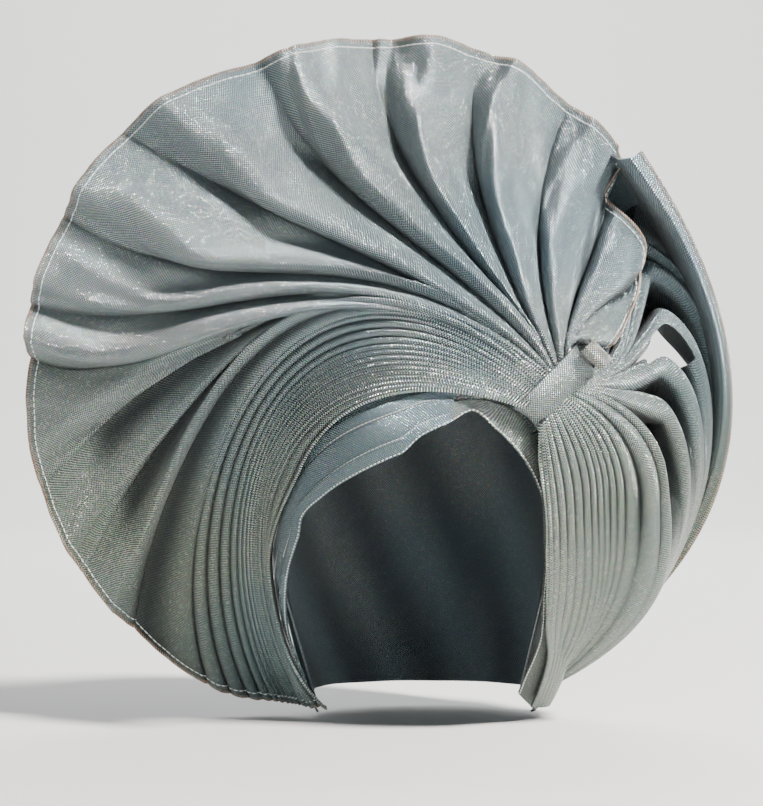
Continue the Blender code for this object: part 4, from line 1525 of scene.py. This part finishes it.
@dataclass
class BrowBands:
    """The two bands that cross on the brow and edge the face opening."""

    stations: int = 220
    rows: int = 60
    turn: float = 0.985
    roundness: float = 0.8
    gather: float = 0.0014
    gather_count: float = 4.5
    gather_from: Span = (148.0, 176.0)
    gather_end: Span = (198.0, 214.0)
    tuck: float = 0.0016
    tuck_drop: Span = (0.88, 1.0)
    tucked: float = 0.6

    def surface(self, outer: GuideTable, layers: int, tucks: np.ndarray) -> np.ndarray:
        """Lay a band on the brow.

        Args:
            outer: The band's outer edge.
            layers: Bands under it.
            tucks: Heights of its tucks for each share of its width.

        Returns:
            The points.
        """
        bearings = np.linspace(outer.keys[0], outer.keys[-1], self.stations)
        shares = np.linspace(0.0, 1.0, self.rows + 1)
        near = FACE_OPENING.at("reach", bearings)[:, None] * LAYOUT.opening_radius
        far = outer.at("reach", bearings)[:, None] * LAYOUT.opening_radius
        reach = near + (far - near) * shares
        turn = np.radians(bearings)[:, None]
        x = LAYOUT.opening_x + reach * np.cos(turn)
        z = LAYOUT.opening_z + reach * np.sin(turn)
        clear = LAYOUT.layer(layers)
        half_width = HEAD.section(z, clear)[0]
        x = np.clip(x, -self.turn * half_width, self.turn * half_width)
        base = np.stack((x, HEAD.front(x, z, clear)[0], z), axis=-1)
        down = smooth_step(*self.gather_from, bearings)[:, None]
        ending = 1.0 - smooth_step(*self.gather_end, bearings)[:, None]
        folds = np.abs(np.sin(math.pi * self.gather_count * shares)) ** self.roundness * self.gather
        height = tucks[None, :] * (1.0 - down) + folds[None, :] * down * ending
        return base + normals_of(base) * height[..., None]

    def tucks(self, places: tuple[float, ...]) -> np.ndarray:
        """Shape tucks across a band: each rises slowly and drops at once.

        Args:
            places: Shares of the band's width where the tucks end.

        Returns:
            A height for each row.
        """
        shares = np.linspace(0.0, 1.0, self.rows + 1)
        edges = np.array((0.0, *places, 1.0))
        cell = np.clip(np.searchsorted(edges, shares, side="right") - 1, 0, len(edges) - 2)
        rise = (shares - edges[cell]) / (edges[cell + 1] - edges[cell])
        return self.tuck * (rise**self.roundness) * (1.0 - smooth_step(*self.tuck_drop, rise))

    def build(self, finishes: Finishes) -> None:
        """Make both bands.

        Args:
            finishes: The built materials.
        """
        # The forehead band wears the shaded copy of the cloth: painted shade.
        forehead = (FOREHEAD_EDGE, 1, (0.19, 0.54, 0.70), finishes.shaded, Slot.SHADED, (0.043, 0.22))
        temple = (TEMPLE_EDGE, 0, (0.80, 0.90), finishes.bright, Slot.BRIGHT, (0.025, 0.22))
        for node, kept in (("forehead_wrap", forehead), ("temple_wrap", temple)):
            outer, layers, places, material, slot, flat = kept
            points = self.surface(outer, layers, self.tucks(places))
            piece = plain_sheet(node + "_cloth", points)
            thicken(piece, LAYOUT.wall)
            hand_over(piece, material, slot, node)
            seams = self.seams(node, points, places if layers else (), finishes.stitch)

    def seams(
        self, name: str, points: np.ndarray, places: tuple[float, ...], material: bpy.types.Material
    ) -> list[bpy.types.Object]:
        """Sew a band's edge at the face opening, and its tucks.

        Args:
            name: The band's name.
            points: Its points, from the face opening outward.
            places: Shares of its width where the tucks end.
            material: The thread's finish.

        Returns:
            The stitches.
        """
        across = np.swapaxes(points, 0, 1)[::-1]
        seam = name + "_edge_stitch"
        line = StitchLine(seam, across, inset=0.0007, stitch=0.0012, gap=0.001, thread=0.0003)
        made = [line.build(material)]
        tucked = int(self.stations * self.tucked)
        for number, place in enumerate(places):
            kept = across[: self.rows + 1 - round(place * self.rows), :tucked]
            seam = f"{name}_tuck_stitch_{number}"
            line = StitchLine(seam, kept, inset=0.0004, stitch=0.0016, gap=0.0006, thread=0.00022)
            made.append(line.build(material))
        return made


@dataclass
class HeadCap:
    """The inner cap, open at the face and at the neck."""

    segments: int = 256
    rings: int = 72
    recess: float = 0.004
    nape_drop: float = 0.200
    nape_turn: float = 20.0
    widest: float = 0.985
    rim_points: int = 60
    weave_strips: int = 32
    wave: float = 0.035
    wave_depths: Span = (0.0, 0.045)
    wave_rings: Span = (0.06, 0.30)
    wave_rates: Span = (9.0, 60.0)
    unevenness: float = 0.6
    wave_painted_shade: float = 0.7

    def rim(self) -> tuple[np.ndarray, np.ndarray]:
        """Find the rim's level.

        Returns:
            Rising azimuths from the front, and the rim's level at each.
        """
        bearings = np.linspace(FACE_OPENING.keys[0], FACE_OPENING.keys[-1], self.rim_points)
        reach = FACE_OPENING.at("reach", bearings) * LAYOUT.opening_radius
        x = LAYOUT.opening_x + reach * np.cos(np.radians(bearings))
        z = LAYOUT.opening_z + reach * np.sin(np.radians(bearings))
        half_width = HEAD.section(z, 0.0)[0]
        azimuth = np.degrees(np.arcsin(np.clip(-x / half_width, -self.widest, self.widest)))
        azimuth = np.maximum.accumulate(azimuth + np.arange(len(azimuth)) * 1e-4)
        low, high = azimuth[0] - self.nape_turn, azimuth[-1] + self.nape_turn
        keys = np.concatenate(((-180.0, low), azimuth, (high, 180.0)))
        nape = np.full(2, -self.nape_drop)
        return keys, np.concatenate((nape, z + self.recess, nape))

    def surface(self) -> tuple[np.ndarray, np.ndarray]:
        """Shape the cap.

        Returns:
            The points, in rings from the crown, and how much painted light each gets: painted shade in the
            troughs of the waves at the back.
        """
        azimuth = np.linspace(-180.0, 180.0, self.segments + 1)
        shares = np.linspace(0.0, 1.0, self.rings + 1)[:, None]
        level = HEAD.crown_rise + np.interp(azimuth, *self.rim())
        over = np.arccos(np.clip(level / HEAD.crown_rise, -1.0, 1.0))
        under = math.pi / 2 + np.arcsin(np.clip(-level / HEAD.drop, -1.0, 1.0))
        turn = shares * np.where(level > 0.0, over, under)
        height = np.where(
            turn < math.pi / 2,
            HEAD.crown_rise * np.cos(turn),
            -HEAD.drop * np.sin(turn - math.pi / 2),
        )
        z = height - HEAD.crown_rise
        half_width, half_length, middle = HEAD.section(z, LAYOUT.wall / 2)
        way = np.radians(azimuth)[None, :]
        x = -half_width * np.sin(way)
        y = middle - half_length * np.cos(way)
        back = smooth_step(*self.wave_depths, y) * smooth_step(*self.wave_rings, shares)
        round_rate, down_rate = self.wave_rates
        uneven = self.unevenness * wander(way * 2.0, seed=1.0)
        wave = 0.5 + 0.5 * np.sin(way * round_rate + z * down_rate + uneven)
        grow = 1.0 + self.wave * back * wave
        points = np.stack((x * grow, middle + (y - middle) * grow, z), axis=-1)
        # Painted shade in the troughs of the waves at the back.
        return points, 1.0 - self.wave_painted_shade * back * (1.0 - wave)

    def build(self, finishes: Finishes) -> None:
        """Make the cap, closed at the crown and at the seam behind.

        Args:
            finishes: The built materials.
        """
        points, ridge = self.surface()
        folds = np.arange(points.shape[1] - 1) // self.weave_strips
        piece = ClothGrid("head_cap_cloth", points, folds, ridge).build()
        close_seam(piece, within=1e-5)
        thicken(piece, LAYOUT.wall)
        hand_over(piece, finishes.cap, Slot.CAP, "head_cap")


@dataclass
class Knot:
    """The band that gathers the pleats, and the raw end that is tucked in above it."""

    thickness: float = 0.018
    margin: float = 0.0008
    squareness: float = 3.0
    waist: float = 0.90
    dip: float = 0.0055
    dip_right: Span = (0.50, 1.0)
    dip_left: Span = (0.0, 0.3)
    left_share: float = 0.15
    front_steepness: float = 3.0
    wall: float = 0.0014
    segments: int = 120
    stations: int = 44
    tab_length: float = 0.013
    tab_radius: float = 0.0042
    tab_turn: float = math.radians(250.0)
    tab_middle: float = math.radians(-25.0)
    tab_lap: float = 0.80
    tab_proud: float = 1.4
    tab_wall: float = 0.0010
    tab_stations: int = 24
    tab_segments: int = 60

    def band(self) -> np.ndarray:
        """Shape the band.

        Returns:
            Points in rows from the left mouth to the right one, the last column on the first.
        """
        shares = np.linspace(0.0, 1.0, self.stations)[:, None]
        turns = np.linspace(0.0, FULL_TURN, self.segments + 1)[None, :]
        power = 2.0 / self.squareness
        pinch = self.waist + (1.0 - self.waist) * (2.0 * shares - 1.0) ** 2
        swing = np.sign(np.cos(turns)) * np.abs(np.cos(turns)) ** power
        swing = swing * (LAYOUT.knot_length / 2 + self.margin) * pinch
        x, z = LAYOUT.on_knot((shares - 0.5) * LAYOUT.knot_width, swing)
        depth = np.sign(np.sin(turns)) * np.abs(np.sin(turns)) ** power * self.thickness / 2 * pinch
        left = 1.0 - smooth_step(*self.dip_left, shares)
        bow = self.dip * (smooth_step(*self.dip_right, shares) + self.left_share * left)
        front_side = np.clip(-np.sin(turns) * self.front_steepness, 0.0, 1.0)
        y = depth - LAYOUT.knot_front + LAYOUT.knot_slope * shares + bow * front_side
        return np.stack((x, y, z), axis=-1)

    def tab(self) -> np.ndarray:
        """Shape the raw end, a part-rolled strip.

        Returns:
            Its points.
        """
        shares = np.linspace(0.0, 1.0, self.tab_stations)[:, None]
        half = self.tab_turn / 2
        turns = np.linspace(self.tab_middle - half, self.tab_middle + half, self.tab_segments)[None, :]
        lift = LAYOUT.knot_length / 2 + self.margin + self.tab_radius * self.tab_lap
        x, z = LAYOUT.on_knot((shares - 0.5) * self.tab_length, np.cos(turns) * self.tab_radius + lift)
        y = np.sin(turns) * self.tab_radius - self.tab_proud * self.tab_radius - LAYOUT.knot_front
        return np.stack((x, np.broadcast_to(y, x.shape), z), axis=-1)

    def build(self, finishes: Finishes) -> None:
        """Make the band and the raw end.

        Args:
            finishes: The built materials.
        """
        piece = plain_sheet("knot_band_cloth", self.band())
        close_seam(piece, within=1e-6)
        thicken(piece, self.wall)
        hand_over(piece, finishes.bright, Slot.BRIGHT, "knot_band")
        strip = plain_sheet("knot_tab_raw_end", self.tab())
        thicken(strip, self.tab_wall)
        hand_over(strip, finishes.raw, Slot.SHADED, "knot_tab")


@dataclass
class Studio:
    """The pale floor, the soft lights and the camera."""

    camera_place: tuple[float, float, float] = (-0.024, -1.260, -0.046)
    floor_size: float = 8.0
    sweep_height: float = 5.0
    sweep_bend: float = 2.0
    sweep_segments: int = 24
    floor_dark: Colour = (0.80, 0.80, 0.79, 1.0)
    floor_light: Colour = (0.84, 0.84, 0.83, 1.0)
    floor_roughness: float = 0.85
    room_colour: Colour = (0.90, 0.94, 1.0, 1.0)
    floor_gap: float = 0.002
    ambient: float = 0.07
    backdrop: float = 0.95

    def build_floor(self, lowest: float) -> None:
        """Lay a pale sweep that rises behind the object.

        Args:
            lowest: Lowest level of the object.
        """
        deselect()
        bpy.ops.mesh.primitive_plane_add(size=self.floor_size, location=(0.0, 0.0, lowest - self.floor_gap))
        floor = bpy.context.object
        floor.name = "studio_floor"
        mesh = floor.data
        bpy.ops.object.mode_set(mode="EDIT")
        bpy.ops.mesh.select_mode(type="EDGE")
        bpy.ops.mesh.select_all(action="DESELECT")
        bpy.ops.object.mode_set(mode="OBJECT")
        for edge in mesh.edges:
            edge.select = all(mesh.vertices[place].co.y > 0.0 for place in edge.vertices)
        bpy.ops.object.mode_set(mode="EDIT")
        bpy.ops.mesh.extrude_region_move(TRANSFORM_OT_translate={"value": (0.0, 0.0, self.sweep_height)})
        bpy.ops.object.mode_set(mode="OBJECT")
        for edge in mesh.edges:
            ends = [mesh.vertices[place].co for place in edge.vertices]
            edge.select = all(end.y > 0.0 and end.z < self.floor_gap for end in ends)
        bpy.ops.object.mode_set(mode="EDIT")
        bpy.ops.mesh.bevel(offset=self.sweep_bend, segments=self.sweep_segments)
        bpy.ops.object.mode_set(mode="OBJECT")
        bpy.ops.object.shade_smooth()
        made = bpy.data.materials.new("studio_floor")
        made.use_nodes = True
        board = NodeBoard(made.node_tree)
        grain = board.add("ShaderNodeTexNoise", {"Scale": 3.0, "Detail": 3.0}).outputs["Fac"]
        colour = board.blend(grain, self.floor_dark, self.floor_light)
        inputs = {"Base Color": colour, "Roughness": self.floor_roughness}
        board.fill(made.node_tree.nodes["Principled BSDF"], inputs)
        floor.data.materials.append(made)
        floor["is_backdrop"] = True

    def light(
        self,
        name: str,
        place: tuple[float, float, float],
        size: float,
        power: float,
        colour: tuple[float, float, float],
        target: tuple[float, float, float] = (0.0, 0.0, -0.05),
    ) -> None:
        """Hang a soft light.

        Args:
            name: Its name.
            place: Where it hangs.
            size: Its width.
            power: Watts.
            colour: Its colour.
            target: What it faces.
        """
        deselect()
        aim = np.array(target) - np.array(place)
        turn = math.atan2(aim[1], aim[0]) - math.pi / 2
        tilt = math.atan2(math.hypot(aim[0], aim[1]), -aim[2])
        bpy.ops.object.light_add(type="AREA", location=place, rotation=(tilt, 0.0, turn))
        lamp = bpy.context.object
        lamp.name = name
        lamp.data.shape = "DISK"
        lamp.data.size = size
        lamp.data.energy = power
        lamp.data.color = colour

    def build(self) -> None:
        """Set up the floor, the lights, the room and the camera."""
        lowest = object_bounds()[0].z
        self.build_floor(lowest)
        self.light("key_light", (1.45, -1.00, 1.45), 0.34, 200.0, (1.0, 0.97, 0.92))
        self.light("fill_light", (-1.6, -1.5, 0.5), 1.4, 3.0, (0.80, 0.90, 1.0))
        self.light("back_light", (0.2, 1.8, 1.4), 1.4, 16.0, (0.95, 0.97, 1.0))
        self.light("backdrop_light", (0.0, 1.2, 2.4), 2.0, 150.0, (1.0, 1.0, 1.0), (0.0, 4.0, 0.6))
        world = bpy.data.worlds.new("studio_room")
        bpy.context.scene.world = world
        world.use_nodes = True
        room = NodeBoard(world.node_tree)
        seen = room.add("ShaderNodeLightPath").outputs["Is Camera Ray"]
        strength = room.math("MULTIPLY_ADD", seen, self.backdrop - self.ambient, self.ambient)
        inputs = {"Color": self.room_colour, "Strength": strength}
        room.fill(world.node_tree.nodes["Background"], inputs)
        deselect()
        bpy.ops.object.camera_add(location=self.camera_place, rotation=(math.pi / 2, 0.0, 0.0))
        camera = bpy.context.object
        camera.name = "studio_camera"
        camera.data.sensor_width = SENSOR_MM
        camera.data.sensor_fit = "HORIZONTAL"
        camera.data.lens = FOCAL_PIXELS / IMAGE_WIDTH * SENSOR_MM
        bpy.context.scene.camera = camera


def write_sizes() -> None:
    """Bring the view layer up to date."""
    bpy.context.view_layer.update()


def main() -> None:
    """Build the head tie piece by piece, then the studio."""
    logging.basicConfig(level=logging.INFO, format="%(name)s: %(message)s")
    finishes = build_finishes()
    HeadCap().build(finishes)
    BrowBands().build(finishes)
    FanCloth().build(finishes)
    SideCloth().build(finishes)
    TailEnd().build(finishes)
    Knot().build(finishes)
    write_sizes()
    Studio().build()


if __name__ == "__main__":
    main()
